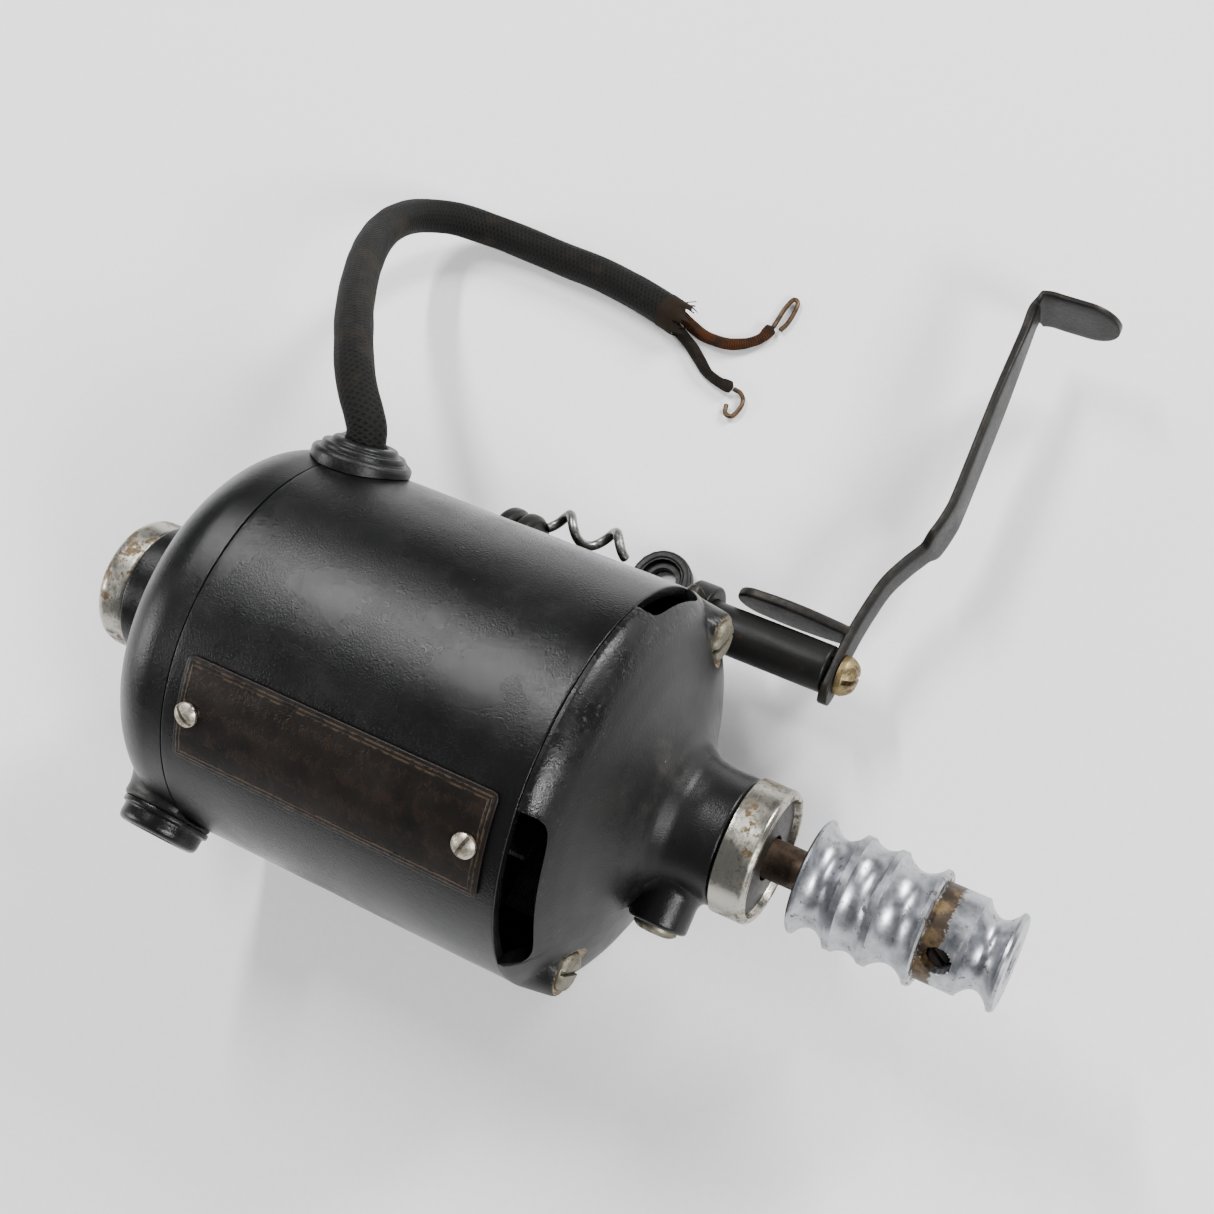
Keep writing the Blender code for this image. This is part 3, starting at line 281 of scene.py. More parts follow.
def turned(
    name: str,
    line: Array,
    seat: Seat,
    segments: int = 96,
    ring: bool = False,
    ripple: Optional[Ripple] = None,
    skin: float = 0.0,
) -> bpy.types.Object:
    """A surface of revolution: each (radius, station) pair carried round the seat's axis.

    Over a round body of radius skin, a station is at least sqrt(skin^2 - side^2), where side is
    how far the point stands to the side of the seat's start.

    Args:
        name: The piece's name.
        line: The profile, from axis to axis, or all the way round when ring is set.
        seat: Where the axis is.
        segments: How many steps one turn has.
        ring: Whether the profile closes on itself.
        ripple: Adds a height to the radius, from the turn and the station, away from the axis.
        skin: The radius of a round body that the piece stands on, or 0.

    Returns:
        The closed piece.
    """
    turn = np.arange(segments) / segments
    radius = np.repeat(line[:, :1], segments, axis=1)
    station = np.repeat(line[:, 1:], segments, axis=1)
    turns = np.broadcast_to(turn, radius.shape)
    if ripple is not None:
        reach = np.clip((radius / radius.max() - 0.42) / 0.2, 0, 1)
        radius = radius + reach * ripple(turns, station)
    if skin:
        station = np.maximum(station, np.sqrt(skin**2 - (radius * np.sin(turns * TURN)) ** 2))
    points = seat.spread(radius, turns * TURN, station)
    length = np.concatenate([[0], np.cumsum(np.linalg.norm(np.diff(line, axis=0), axis=1))])
    if ring:
        length = np.append(length, length[-1] + np.linalg.norm(line[0] - line[-1]))
    chart = np.stack(np.meshgrid(np.append(turn, 1.0), length), axis=-1)
    return surface(name, points, wrap_rows=ring, chart=chart)


def carried(path: Array, up: Sequence[float]) -> Tuple[Array, Array]:
    """Two unit directions across a path that turn with it as little as they can.

    Each step takes the last direction, less its part along the path, back to unit length.

    Args:
        path: The points of the path.
        up: A direction that the first one leans to.

    Returns:
        The two directions at each point.
    """
    along = np.gradient(path, axis=0)
    along /= np.linalg.norm(along, axis=1, keepdims=True)
    first = np.empty_like(path)
    lean = np.asarray(up, float)
    for step, direction in enumerate(along):
        lean = lean - np.dot(lean, direction) * direction
        lean = lean / np.linalg.norm(lean)
        first[step] = lean
    return first, np.cross(along, first)


def wire(
    name: str,
    path: Array,
    radius: Union[float, Array],
    sides: int = 16,
    ripple: Optional[Ripple] = None,
    blunt: float = 0.35,
) -> bpy.types.Object:
    """A round cord or wire along a path, with softly rounded ends.

    A point stands off the path by the radius, at an angle about it; over the last few rows the
    radius falls to nothing along a quarter circle.

    Args:
        name: The piece's name.
        path: The middle line.
        radius: The radius, one value or one for each point.
        sides: Points round the wire.
        ripple: Adds a height to the radius, from the turn and the distance along.
        blunt: How far the ends bulge, as a share of the radius.

    Returns:
        The closed piece.
    """
    girth = np.broadcast_to(np.asarray(radius, float), (len(path),))
    close = np.linspace(0, math.pi / 2, 5)[:-1]
    before, after = path[0] - path[1], path[-1] - path[-2]
    head = path[0] + np.outer(np.cos(close), before / np.linalg.norm(before)) * girth[0] * blunt
    tail = path[-1] + np.outer(np.cos(close[::-1]), after / np.linalg.norm(after)) * girth[-1] * blunt
    spine = np.vstack([head, path, tail])
    across, over = carried(path, (0.11, 0.23, 0.97))
    across, over = (np.pad(side, ((len(close), len(close)), (0, 0)), mode="edge") for side in (across, over))
    size = np.concatenate([girth[0] * np.sin(close), girth, girth[-1] * np.sin(close[::-1])])
    length = np.concatenate([[0], np.cumsum(np.linalg.norm(np.diff(spine, axis=0), axis=1))])
    turn = np.arange(sides) / sides
    turns, stations = np.meshgrid(turn, length)
    out = np.repeat(size[:, None], sides, axis=1)
    if ripple is not None:
        out = out + ripple(turns, stations) * (size / size.max())[:, None]
    angle = turns[..., None] * TURN
    ring = np.cos(angle) * across[:, None] + np.sin(angle) * over[:, None]
    points = spine[:, None] + out[..., None] * ring
    chart = np.stack(np.meshgrid(np.append(turn, 1.0), length), axis=-1)
    return surface(name, points, chart=chart, crease=60.0)


def slab(
    name: str,
    outline: Array,
    low: float,
    high: float,
    edge: float,
    place: Callable[[Array], Array],
    hole: Optional[Array] = None,
    rings: Sequence[float] = (0.0, 0.55, 0.85),
) -> bpy.types.Object:
    """A flat piece with softened edges, from an outline that its middle sees all of.

    The outline is drawn in by (1 - cos) of an angle and lowered by (1 - sin) of it, times the
    edge's radius, which rounds both rims; the faces run on to the middle, or to the hole's rim.

    Args:
        name: The piece's name.
        outline: The closed outline, without its first point repeated.
        low: Height of the lower face.
        high: Height of the upper face.
        edge: The rounding of the rims.
        place: Turns flat points, with their height third, into places on the motor.
        hole: The outline of a hole with as many points, or nothing.
        rings: Where rings of points lie between the middle and the rim, from 0 to below 1.

    Returns:
        The closed piece.  Its masks are "rim", 1 on the rounded rims, and the flat place of each
        point in millimetres, "across" and "along".
    """
    ahead = np.roll(outline, -1, axis=0) - np.roll(outline, 1, axis=0)
    following = np.roll(outline, -1, axis=0)
    area = np.sum(outline[:, 0] * following[:, 1] - outline[:, 1] * following[:, 0])
    normal = np.stack([ahead[:, 1], -ahead[:, 0]], axis=1) * np.sign(area)
    normal /= np.linalg.norm(normal, axis=1, keepdims=True)
    bend = np.linspace(0, math.pi / 2, 6)
    inset = np.concatenate([edge * (1 - np.sin(bend)), edge * (1 - np.sin(bend[::-1]))])
    height = np.concatenate([high - edge * (1 - np.cos(bend)), low + edge * (1 - np.cos(bend[::-1]))])
    middle = np.broadcast_to(outline.mean(axis=0), outline.shape)
    inner = middle if hole is None else hole
    face = [inner + (outline - normal * edge - inner) * share for share in rings]
    side = [outline - normal * inward for inward in inset]
    flat = np.stack([*face, *side, *face[::-1]])
    levels = np.concatenate([np.full(len(face), high), height, np.full(len(face), low)])
    rim = np.pad(np.ones(len(side)), len(face))
    tall = np.repeat(levels[:, None, None], flat.shape[1], axis=1)
    points = place(np.concatenate([flat, tall], axis=-1))
    worn = np.repeat(rim[:, None], flat.shape[1], axis=1)
    masks = {"rim": worn, "across": flat[..., 0], "along": flat[..., 1]}
    return surface(name, points, wrap_rows=hole is not None, masks=masks)


def slotted(
    name: str,
    seat: Seat,
    radius: float,
    base: float,
    rise: float,
    slot: float,
    skew: float,
    flat: float = 0.0,
) -> bpy.types.Object:
    """A screw's head: a dome over a disc with a straight slot cut across it.

    Rows are straight chords of the disc, so two of them are the slot's walls.  Height falls as
    the square of the distance from the middle, and is flat inside the share named flat.

    Args:
        name: The piece's name.
        seat: The screw's axis.
        radius: The head's radius.
        base: Station of the head's seat.
        rise: The dome's height over its seat.
        slot: The slot's half width.
        skew: The slot's direction about the axis, in degrees.
        flat: The share of the radius over which the top is level.

    Returns:
        The closed head.
    """
    away = radius * np.sin(np.linspace(-math.pi / 2, math.pi / 2, 41))
    lip, clear = slot * 1.02, slot * 1.05
    away = np.unique(np.concatenate([away[np.abs(away) > clear], [-lip, -slot, 0.0, slot, lip]]))
    share = np.sin(np.linspace(-math.pi / 2, math.pi / 2, 31))
    across = share[None, :] * np.sqrt(np.maximum(radius**2 - away[:, None] ** 2, 0.0))
    along = np.broadcast_to(away[:, None], across.shape)
    far = np.clip((np.hypot(across, along) / radius - flat) / (1 - flat), 0, 1)
    top = base + 0.35 * rise + 0.65 * rise * (1 - far**2.4)
    floor = base + 0.42 * rise
    top = np.where(np.abs(along) <= slot * 1.001, np.minimum(top, floor), top)
    turn = math.radians(skew)
    x = across * math.cos(turn) - along * math.sin(turn)
    y = across * math.sin(turn) + along * math.cos(turn)
    out, around = np.hypot(x, y), np.arctan2(y, x)
    upper, lower = (seat.spread(out, around, level) for level in (top, np.full_like(top, base)))
    points = np.concatenate([upper, lower[:, ::-1]], axis=1)
    return surface(name, points, crease=30.0)


# ------------------------------------------------------------------ shaders
class Value:
    """A shader socket that takes part in ordinary sums; each sum adds a Math node."""

    def __init__(self, board: "Board", socket: bpy.types.NodeSocket) -> None:
        """Keeps the socket and the board that it is on."""
        self.board = board
        self.socket = socket

    def __add__(self, other: "Number") -> "Value":
        """This plus other."""
        return self.board.maths("ADD", self, other)

    __radd__ = __add__

    def __sub__(self, other: "Number") -> "Value":
        """This minus other."""
        return self.board.maths("SUBTRACT", self, other)

    def __rsub__(self, other: "Number") -> "Value":
        """Other minus this."""
        return self.board.maths("SUBTRACT", other, self)

    def __mul__(self, other: "Number") -> "Value":
        """This times other."""
        return self.board.maths("MULTIPLY", self, other)

    __rmul__ = __mul__


Number = Union[Value, float]
Paint = Union[Value, Colour]
EVEN = (1.0, 1.0, 1.0)
NOISE_SPAN = (0.27, 0.73)


class Board:
    """One material's nodes."""

    def __init__(self, name: str) -> None:
        """Makes the material with its Principled shader."""
        self.material = bpy.data.materials.new(name)
        self.material.use_nodes = True
        self.tree = self.material.node_tree
        self.shader = self.tree.nodes["Principled BSDF"]

    def node(
        self,
        kind: str,
        settings: Optional[Dict[str, object]] = None,
        sockets: Optional[Dict[Union[str, int], object]] = None,
        output: Union[str, int] = 0,
    ) -> Value:
        """Adds one node.

        Args:
            kind: The node's type.
            settings: The node's own settings, made first.
            sockets: A value or a link for each named or numbered socket.
            output: The socket that is given back.

        Returns:
            The node's output.
        """
        made = self.tree.nodes.new(kind)
        for label, setting in (settings or {}).items():
            setattr(made, label, setting)
        for label, value in (sockets or {}).items():
            self.feed(made.inputs[label], value)
        return Value(self, made.outputs[output])

    def feed(self, socket: bpy.types.NodeSocket, value: object) -> None:
        """Links a value to a socket, or sets the socket where the value is plain."""
        if isinstance(value, Value):
            self.tree.links.new(value.socket, socket)
        elif isinstance(value, tuple) and socket.type == "RGBA":
            socket.default_value = (*value, 1.0)
        else:
            socket.default_value = value

    def maths(self, operation: str, *values: Number) -> Value:
        """One Math node."""
        return self.node("ShaderNodeMath", {"operation": operation}, dict(enumerate(values)))

    def blend(self, share: Number, start: Paint, stop: Paint) -> Value:
        """A colour between two, by a share."""
        settings = {"data_type": "RGBA", "clamp_factor": True}
        return self.node("ShaderNodeMix", settings, {0: share, 6: start, 7: stop}, 2)

    def between(self, value: Number, low: float, high: float) -> Value:
        """0 below low and 1 above high, with a smooth change; high may be the lower one."""
        inside = {"Value": value, "From Min": low, "From Max": high}
        return self.node("ShaderNodeMapRange", {"interpolation_type": "SMOOTHSTEP"}, inside)

    def place(self, stretch: Triple = EVEN) -> Value:
        """Object coordinates, stretched along the axes."""
        point = self.node("ShaderNodeTexCoord", output="Object")
        if stretch == EVEN:
            return point
        return self.node("ShaderNodeMapping", None, {"Vector": point, "Scale": stretch})

    def chart(self) -> Tuple[Value, Value]:
        """The piece's own UV map: whole turns, and millimetres along."""
        laid = self.node("ShaderNodeTexCoord", output="UV")
        split = self.node("ShaderNodeSeparateXYZ", None, {0: laid})
        return split, Value(self, split.socket.node.outputs[1])

    def axes(self) -> Tuple[Value, Value, Value]:
        """Object X, Y and Z in metres."""
        split = self.node("ShaderNodeSeparateXYZ", None, {0: self.place()})
        outputs = split.socket.node.outputs
        return split, Value(self, outputs[1]), Value(self, outputs[2])

    def mask(self, name: str) -> Value:
        """A named value that the piece's points carry."""
        return self.node("ShaderNodeAttribute", {"attribute_name": name}, output="Fac")

    def noise(
        self,
        size: float,
        detail: float = 3.0,
        roughness: float = 0.55,
        stretch: Triple = EVEN,
    ) -> Value:
        """Noise, spread to fill 0 to 1, whose features are about size millimetres across."""
        inside = {"Vector": self.place(stretch), "Scale": PER_METRE / size, "Detail": detail}
        inside["Roughness"] = roughness
        raw = self.node("ShaderNodeTexNoise", None, inside)
        low, high = NOISE_SPAN
        return self.node("ShaderNodeMapRange", None, {"Value": raw, "From Min": low, "From Max": high})

    def cells(self, size: float) -> Value:
        """Distance to the nearest of many scattered points, about size millimetres apart."""
        inside = {"Vector": self.place(), "Scale": PER_METRE / size}
        return self.node("ShaderNodeTexVoronoi", None, inside)

    def bump(self, height: Number, depth: float, strength: float) -> Value:
        """A bump whose height of 1 stands for depth millimetres."""
        inside = {"Height": height, "Distance": depth * MM, "Strength": strength}
        return self.node("ShaderNodeBump", None, inside)

    def dress(self, **values: object) -> None:
        """Sets the shader's sockets, named in lower case with underscores."""
        for label, value in values.items():
            self.feed(self.shader.inputs[label.replace("_", " ").title().replace("Ior", "IOR")], value)


class Finish:
    """A material recipe.  Each kind paints its own board, once."""

    name: str

    def paint(self, board: Board) -> None:
        """Builds the nodes."""
        raise NotImplementedError

    def material(self) -> bpy.types.Material:
        """The material, made at its first use."""
        name = f"{self.name}_finish"
        found = bpy.data.materials.get(name)
        if found is not None:
            return found
        board = Board(name)
        self.paint(board)
        return board.material


@dataclass(frozen=True)
class Japanning(Finish):
    """Stoved black enamel: orange peel, sparkling pits, and places worn dull and grey.

    A scuffed band fades in along X and up Z between the metres named by band and rise.
    """

    name: str
    black: Colour = (0.0035, 0.0035, 0.0038)
    worn: Colour = (0.026, 0.025, 0.023)
    gloss: Pair = (0.15, 0.27)
    wear: float = 0.35
    pits: float = 0.5
    scuffed_band: bool = False
    band: Pair = (0.0468, 0.0425)
    rise: Pair = (0.052, 0.066)

    def paint(self, board: Board) -> None:
        """Pits and peel lift the surface; wear lightens and dulls it in patches."""
        broad = board.noise(26.0, 4.0)
        grit = board.noise(0.38, 3.0, 0.6)
        peel = board.noise(2.6, 2.0)
        rub = board.noise(9.0, 7.0, 0.72)
        smear = board.noise(6.0, 5.0, 0.65, (0.25, 1.0, 1.0))
        patches = board.between(rub, 0.45, 1.0) * board.between(broad, 0.4, 0.8)
        dust = board.between(board.cells(3.1), 0.075, 0.03) * board.between(rub, 0.5, 0.8)
        worn = patches * self.wear
        low, high = self.gloss
        roughness = low + (high - low) * board.between(broad, 0.2, 0.8) + 0.08 * smear + 0.12 * worn
        colour = board.blend(worn, self.black, self.worn)
        colour = board.blend(dust * 0.5, colour, (0.16, 0.15, 0.13))
        lift = grit * self.pits + peel * 0.28
        if self.scuffed_band:
            x, _, z = board.axes()
            band = board.between(x, *self.band) * board.between(z, *self.rise)
            streaks = board.between(board.noise(1.3, 6.0, 0.75, (0.6, 1.0, 1.4)), 0.55, 0.85)
            scuff = band * board.between(board.noise(7.0, 4.0, 0.7), 0.35, 0.75)
            roughness = roughness - 0.14 * scuff + 0.16 * streaks * band
            colour = board.blend(scuff * streaks * 0.6, colour, (0.075, 0.072, 0.066))
            lift = lift + scuff * board.noise(1.3, 4.0, 0.6) * 1.3
            bare = board.mask("spot")
            tan = board.blend(board.noise(1.5, 4.0), (0.12, 0.085, 0.055), (0.34, 0.27, 0.19))
            colour = board.blend(bare * 0.9, colour, tan)
            roughness = roughness + 0.12 * bare
        normal = board.bump(lift, 0.055, 0.8)
        board.dress(base_color=colour, roughness=roughness, normal=normal, specular_ior_level=0.24)


@dataclass(frozen=True)
class Metal(Finish):
    """Bare or plated metal with tarnish, stains, fine tool marks and dents."""

    name: str
    bright: Colour
    stain: Colour
    dull: Colour
    roughness: Pair = (0.2, 0.45)
    stains: float = 0.5
    marks: Triple = EVEN
    mark_size: float = 0.5
    mark_depth: float = 0.01
    dents: float = 0.0
    metallic: float = 1.0
    patch: float = 5.0

    def paint(self, board: Board) -> None:
        """Stains follow two noises multiplied together; marks are noise drawn out along an axis."""
        blotch = board.noise(self.patch, 6.0, 0.68)
        cloud = board.noise(self.patch * 2.7, 3.0)
        speck = board.noise(0.9, 4.0, 0.7)
        marks = board.noise(self.mark_size, 3.0, 0.6, self.marks)
        stained = board.between(blotch, 0.5, 0.66) * board.between(cloud, 0.36, 0.6) * self.stains
        grey = board.between(speck + 0.5 * cloud, 0.80, 0.98) * 0.7
        low, high = self.roughness
        colour = board.blend(grey, self.bright, self.dull)
        colour = board.blend(stained, colour, self.stain)
        roughness = low + (high - low) * board.between(cloud, 0.3, 0.7) + 0.14 * stained + 0.12 * marks
        lift = marks * self.mark_depth + self.dents * board.noise(2.4, 3.0, 0.55) + 0.01 * stained * speck
        metallic = self.metallic - 0.35 * stained
        normal = board.bump(lift, 1.0, 0.8)
        board.dress(base_color=colour, roughness=roughness, metallic=metallic, normal=normal)


@dataclass(frozen=True)
class PulleySteel(Finish):
    """Bright turned steel with nicks and smears, and a brown tarnish on half of its collar.

    The tarnish runs between two stations, in metres, each with a soft edge.
    """

    name: str = "pulley_steel"
    collar: Pair = (0.1061, 0.1096)
    edges: Pair = (0.0002, 0.0003)
    raggedness: float = 0.0016

    def paint(self, board: Board) -> None:
        """Tool rings run round; the tarnish ends in a ragged line across the collar."""
        x, _, _ = board.axes()
        rings = board.noise(0.9, 2.0, 0.5, (1.0, 0.25, 0.25))
        smear = board.noise(3.2, 5.0, 0.62)
        spots = board.between(board.noise(2.4, 6.0, 0.75), 0.64, 0.84)
        scratch = board.between(board.noise(1.1, 3.0, 0.8, (0.9, 0.16, 0.3)), 0.74, 0.84)
        hollows = board.noise(7.5, 3.0, 0.5)
        ragged = x + self.raggedness * (board.noise(1.2, 4.0, 0.7) - 0.5)
        (start, stop), (first, last) = self.collar, self.edges
        brown = board.between(ragged, start - first, start + first)
        brown = brown * board.between(ragged, stop + last, stop - last)
        colour = board.blend(smear, (0.22, 0.23, 0.25), (0.50, 0.51, 0.54))
        colour = board.blend(spots * 0.85, colour, (0.045, 0.042, 0.04))
        tarnish = board.blend(board.between(smear, 0.3, 0.8), (0.030, 0.016, 0.005), (0.130, 0.080, 0.026))
        colour = board.blend(brown * 0.94, colour, tarnish)
        roughness = 0.27 + 0.12 * smear + 0.2 * spots + 0.1 * scratch + 0.16 * brown
        lift = rings * 0.002 + scratch * -0.003 + board.between(hollows, 0.2, 0.9) * 0.012 + spots * 0.006
        metallic = 1.0 - 0.2 * brown - 0.3 * spots
        normal = board.bump(lift, 1.0, 0.9)
        board.dress(base_color=colour, roughness=roughness, metallic=metallic, normal=normal)


@dataclass(frozen=True)
class WornPaint(Finish):
    """Black paint or oxide on steel, rubbed to dull metal along the rims."""

    name: str
    black: Colour = (0.006, 0.0055, 0.005)
    bare: Colour = (0.034, 0.028, 0.021)
    roughness: float = 0.36
    rim: float = 0.6
    grain: Triple = EVEN
    rust: float = 0.15

    def paint(self, board: Board) -> None:
        """The rim mask is broken up by noise, and rust sits in small patches."""
        rub = board.noise(3.0, 6.0, 0.7)
        broad = board.noise(14.0, 3.0)
        grain = board.noise(0.8, 4.0, 0.6, self.grain)
        rim = board.between(board.mask("rim") + 0.9 * (rub - 0.5), 0.85, 1.25) * self.rim
        patches = board.between(rub, 0.66, 0.86) * board.between(broad, 0.5, 0.8) * 0.3
        bare = board.maths("MAXIMUM", rim, patches)
        rust = board.between(board.noise(2.2, 6.0, 0.75), 0.70, 0.88) * self.rust
        colour = board.blend(bare, self.black, self.bare)
        colour = board.blend(rust, colour, (0.045, 0.018, 0.006))
        roughness = self.roughness + 0.18 * (broad - 0.5) + 0.14 * grain - 0.12 * bare + 0.2 * rust
        lift = grain * 0.5 + rub * 0.5 - bare * 0.4
        normal = board.bump(lift, 0.05, 0.7)
        shine = {"metallic": 0.4 * bare, "specular_ior_level": 0.2}
        board.dress(base_color=colour, roughness=roughness, normal=normal, **shine)


@dataclass(frozen=True)
class PlateBronze(Finish):
    """A dark bronzed plate with two fine border lines and cloudy ghosts of old wear."""

    name: str = "plate_bronze"
    size: Pair = (69.0, 21.3)
    insets: Pair = (0.9, 1.7)

    def line(self, board: Board, across: Value, along: Value, inset: float) -> Value:
        """1 on a rectangle's outline, inset from the plate's edges."""
        gap_x = board.maths("MINIMUM", across, self.size[0] - across)
        gap_y = board.maths("MINIMUM", along, self.size[1] - along)
        off = board.maths("ABSOLUTE", board.maths("MINIMUM", gap_x, gap_y) - inset)
        return board.between(off, 0.26, 0.10)

    def paint(self, board: Board) -> None:
        """Lines stand a little proud and catch the light; the ghosts are rows of soft smudges."""
        across, along = board.mask("across") + self.size[0] / 2, board.mask("along") + self.size[1] / 2
        lines = board.maths("MAXIMUM", *(self.line(board, across, along, gap) for gap in self.insets))
        chipped = board.between(board.noise(1.8, 4.0, 0.7), 0.42, 0.58)
        ghosts = board.noise(1.9, 5.0, 0.72, (1.0, 0.8, 0.8))
        rows = board.maths("SINE", along * (TURN / 5.2))
        smudge = board.between(ghosts + 0.14 * rows, 0.5, 0.85)
        cloud = board.noise(9.0, 4.0)
        colour = board.blend(cloud, (0.0035, 0.0027, 0.0023), (0.0085, 0.0055, 0.0038))
        colour = board.blend(smudge * 0.3, colour, (0.028, 0.015, 0.0085))
        colour = board.blend(lines * chipped * 0.5, colour, (0.07, 0.046, 0.024))
        roughness = 0.30 + 0.16 * cloud - 0.05 * smudge
        lift = lines * 0.07 + smudge * 0.03 + 0.02 * board.noise(0.7, 3.0)
        normal = board.bump(lift, 1.0, 0.7)
        board.dress(base_color=colour, roughness=roughness, normal=normal, specular_ior_level=0.24)


@dataclass(frozen=True)
class Moulding(Finish):
    """Black rubber or phenolic moulding: a dull skin with dust in its pores."""

    name: str
    black: Colour = (0.0045, 0.0045, 0.0047)
    roughness: float = 0.5
    dust: float = 0.25
    grain: float = 0.02

    def paint(self, board: Board) -> None:
        """Dust lies where two noises agree; the grain is fine noise."""
        cloud = board.noise(7.0, 5.0, 0.65)
        pores = board.noise(0.5, 4.0, 0.65)
        dust = board.between(cloud, 0.50, 0.68) * board.between(pores, 0.40, 0.60) * self.dust
        colour = board.blend(dust, self.black, (0.05, 0.048, 0.044))
        roughness = self.roughness + 0.16 * (cloud - 0.5) + 0.2 * dust
        normal = board.bump(pores + 2.0 * cloud, self.grain * 2.0, 0.7)
        board.dress(base_color=colour, roughness=roughness, normal=normal, specular_ior_level=0.24)


@dataclass(frozen=True)
class Braid(Finish):
    """Black cotton braid: yarns crossing on two slants, with pale fuzz on the high ones."""

    name: str = "cord_braid"
    carriers: float = 12.0
    pitch: float = 1.25

    def paint(self, board: Board) -> None:
        """Two slanted waves, of the turn plus and minus the length, take turns on top."""
        turn, along = board.chart()
        round_it = turn * (self.carriers * TURN)
        down_it = along * (TURN / self.pitch)
        left = board.maths("SINE", (round_it + down_it) * 0.5)
        right = board.maths("SINE", (round_it - down_it) * 0.5)
        yarn = board.maths("MAXIMUM", left * left, right * right)
        thread = board.maths("SINE", round_it * 2.0 + down_it * 3.0)
        fuzz = board.between(board.noise(0.9, 6.0, 0.75), 0.62, 0.90)
        age = board.noise(13.0, 4.0)
        colour = board.blend(yarn, (0.0015, 0.0014, 0.0013), (0.0065, 0.0062, 0.0058))
        colour = board.blend(fuzz * yarn * 0.35, colour, (0.026, 0.022, 0.017))
        colour = board.blend(board.between(age, 0.6, 0.9) * 0.4, colour, (0.026, 0.020, 0.013))
        lift = yarn + 0.12 * thread + 0.35 * fuzz
        normal = board.bump(lift, 0.16, 0.85)
        board.dress(base_color=colour, roughness=0.62 + 0.15 * age, normal=normal, specular_ior_level=0.12)


@dataclass(frozen=True)
class Lapping(Finish):
    """Cotton wound round a conductor in one slanted layer, dirty and coming undone."""

    name: str
    dark: Colour
    light: Colour
    pitch: float = 0.55

    def paint(self, board: Board) -> None:
        """One helix of threads, broken by lint."""
        turn, along = board.chart()
        thread = board.maths("SINE", turn * TURN + along * (TURN / self.pitch))
        lint = board.noise(0.8, 6.0, 0.75)
        grime = board.between(board.noise(4.0, 4.0, 0.65), 0.42, 0.62)
        colour = board.blend(0.5 + 0.3 * thread, self.dark, self.light)
        colour = board.blend(grime * 0.75, colour, (0.014, 0.010, 0.007))
        normal = board.bump(0.5 * thread + 1.3 * lint, 0.14, 0.9)
        board.dress(base_color=colour, roughness=0.8 + 0.1 * lint, normal=normal, specular_ior_level=0.12)


@dataclass(frozen=True)
class Striped(Finish):
    """Stacks and windings: thin layers across one axis, or bars round the motor's axis."""

    name: str
    light: Colour
    dark: Colour
    metallic: float
    roughness: float
    pitch: float = 0.6
    bars: int = 0

    def paint(self, board: Board) -> None:
        """A sine of the station, or of the angle about the axis, sharpened into grooves."""
        x, y, z = board.axes()
        if self.bars:
            angle = board.maths("ARCTAN2", y, z - AXIS_HEIGHT * MM)
            wave = board.maths("COSINE", angle * float(self.bars))
            groove = board.between(wave, 0.86, 0.97)
        else:
            wave = board.maths("SINE", x * (TURN * PER_METRE / self.pitch))
            groove = board.between(wave, 0.1, 0.9)
        cloud = board.noise(5.0, 5.0, 0.65)
        colour = board.blend(cloud, self.light, tuple(0.6 * part for part in self.light))
        colour = board.blend(groove * 0.8, colour, self.dark)
        normal = board.bump(cloud * 0.2 - groove, 0.12, 0.8)
        rough = self.roughness + 0.2 * cloud
        board.dress(base_color=colour, roughness=rough, metallic=self.metallic, normal=normal)


@dataclass(frozen=True)
class Floor(Finish):
    """Pale seamless paper."""

    name: str = "floor_paper"

    def paint(self, board: Board) -> None:
        """Nearly even, with the faintest fibre."""
        fibre = board.noise(1.5, 4.0)
        colour = board.blend(fibre, (0.80, 0.80, 0.80), (0.84, 0.84, 0.84))
        board.dress(base_color=colour, roughness=0.9, normal=board.bump(fibre, 0.02, 0.3))


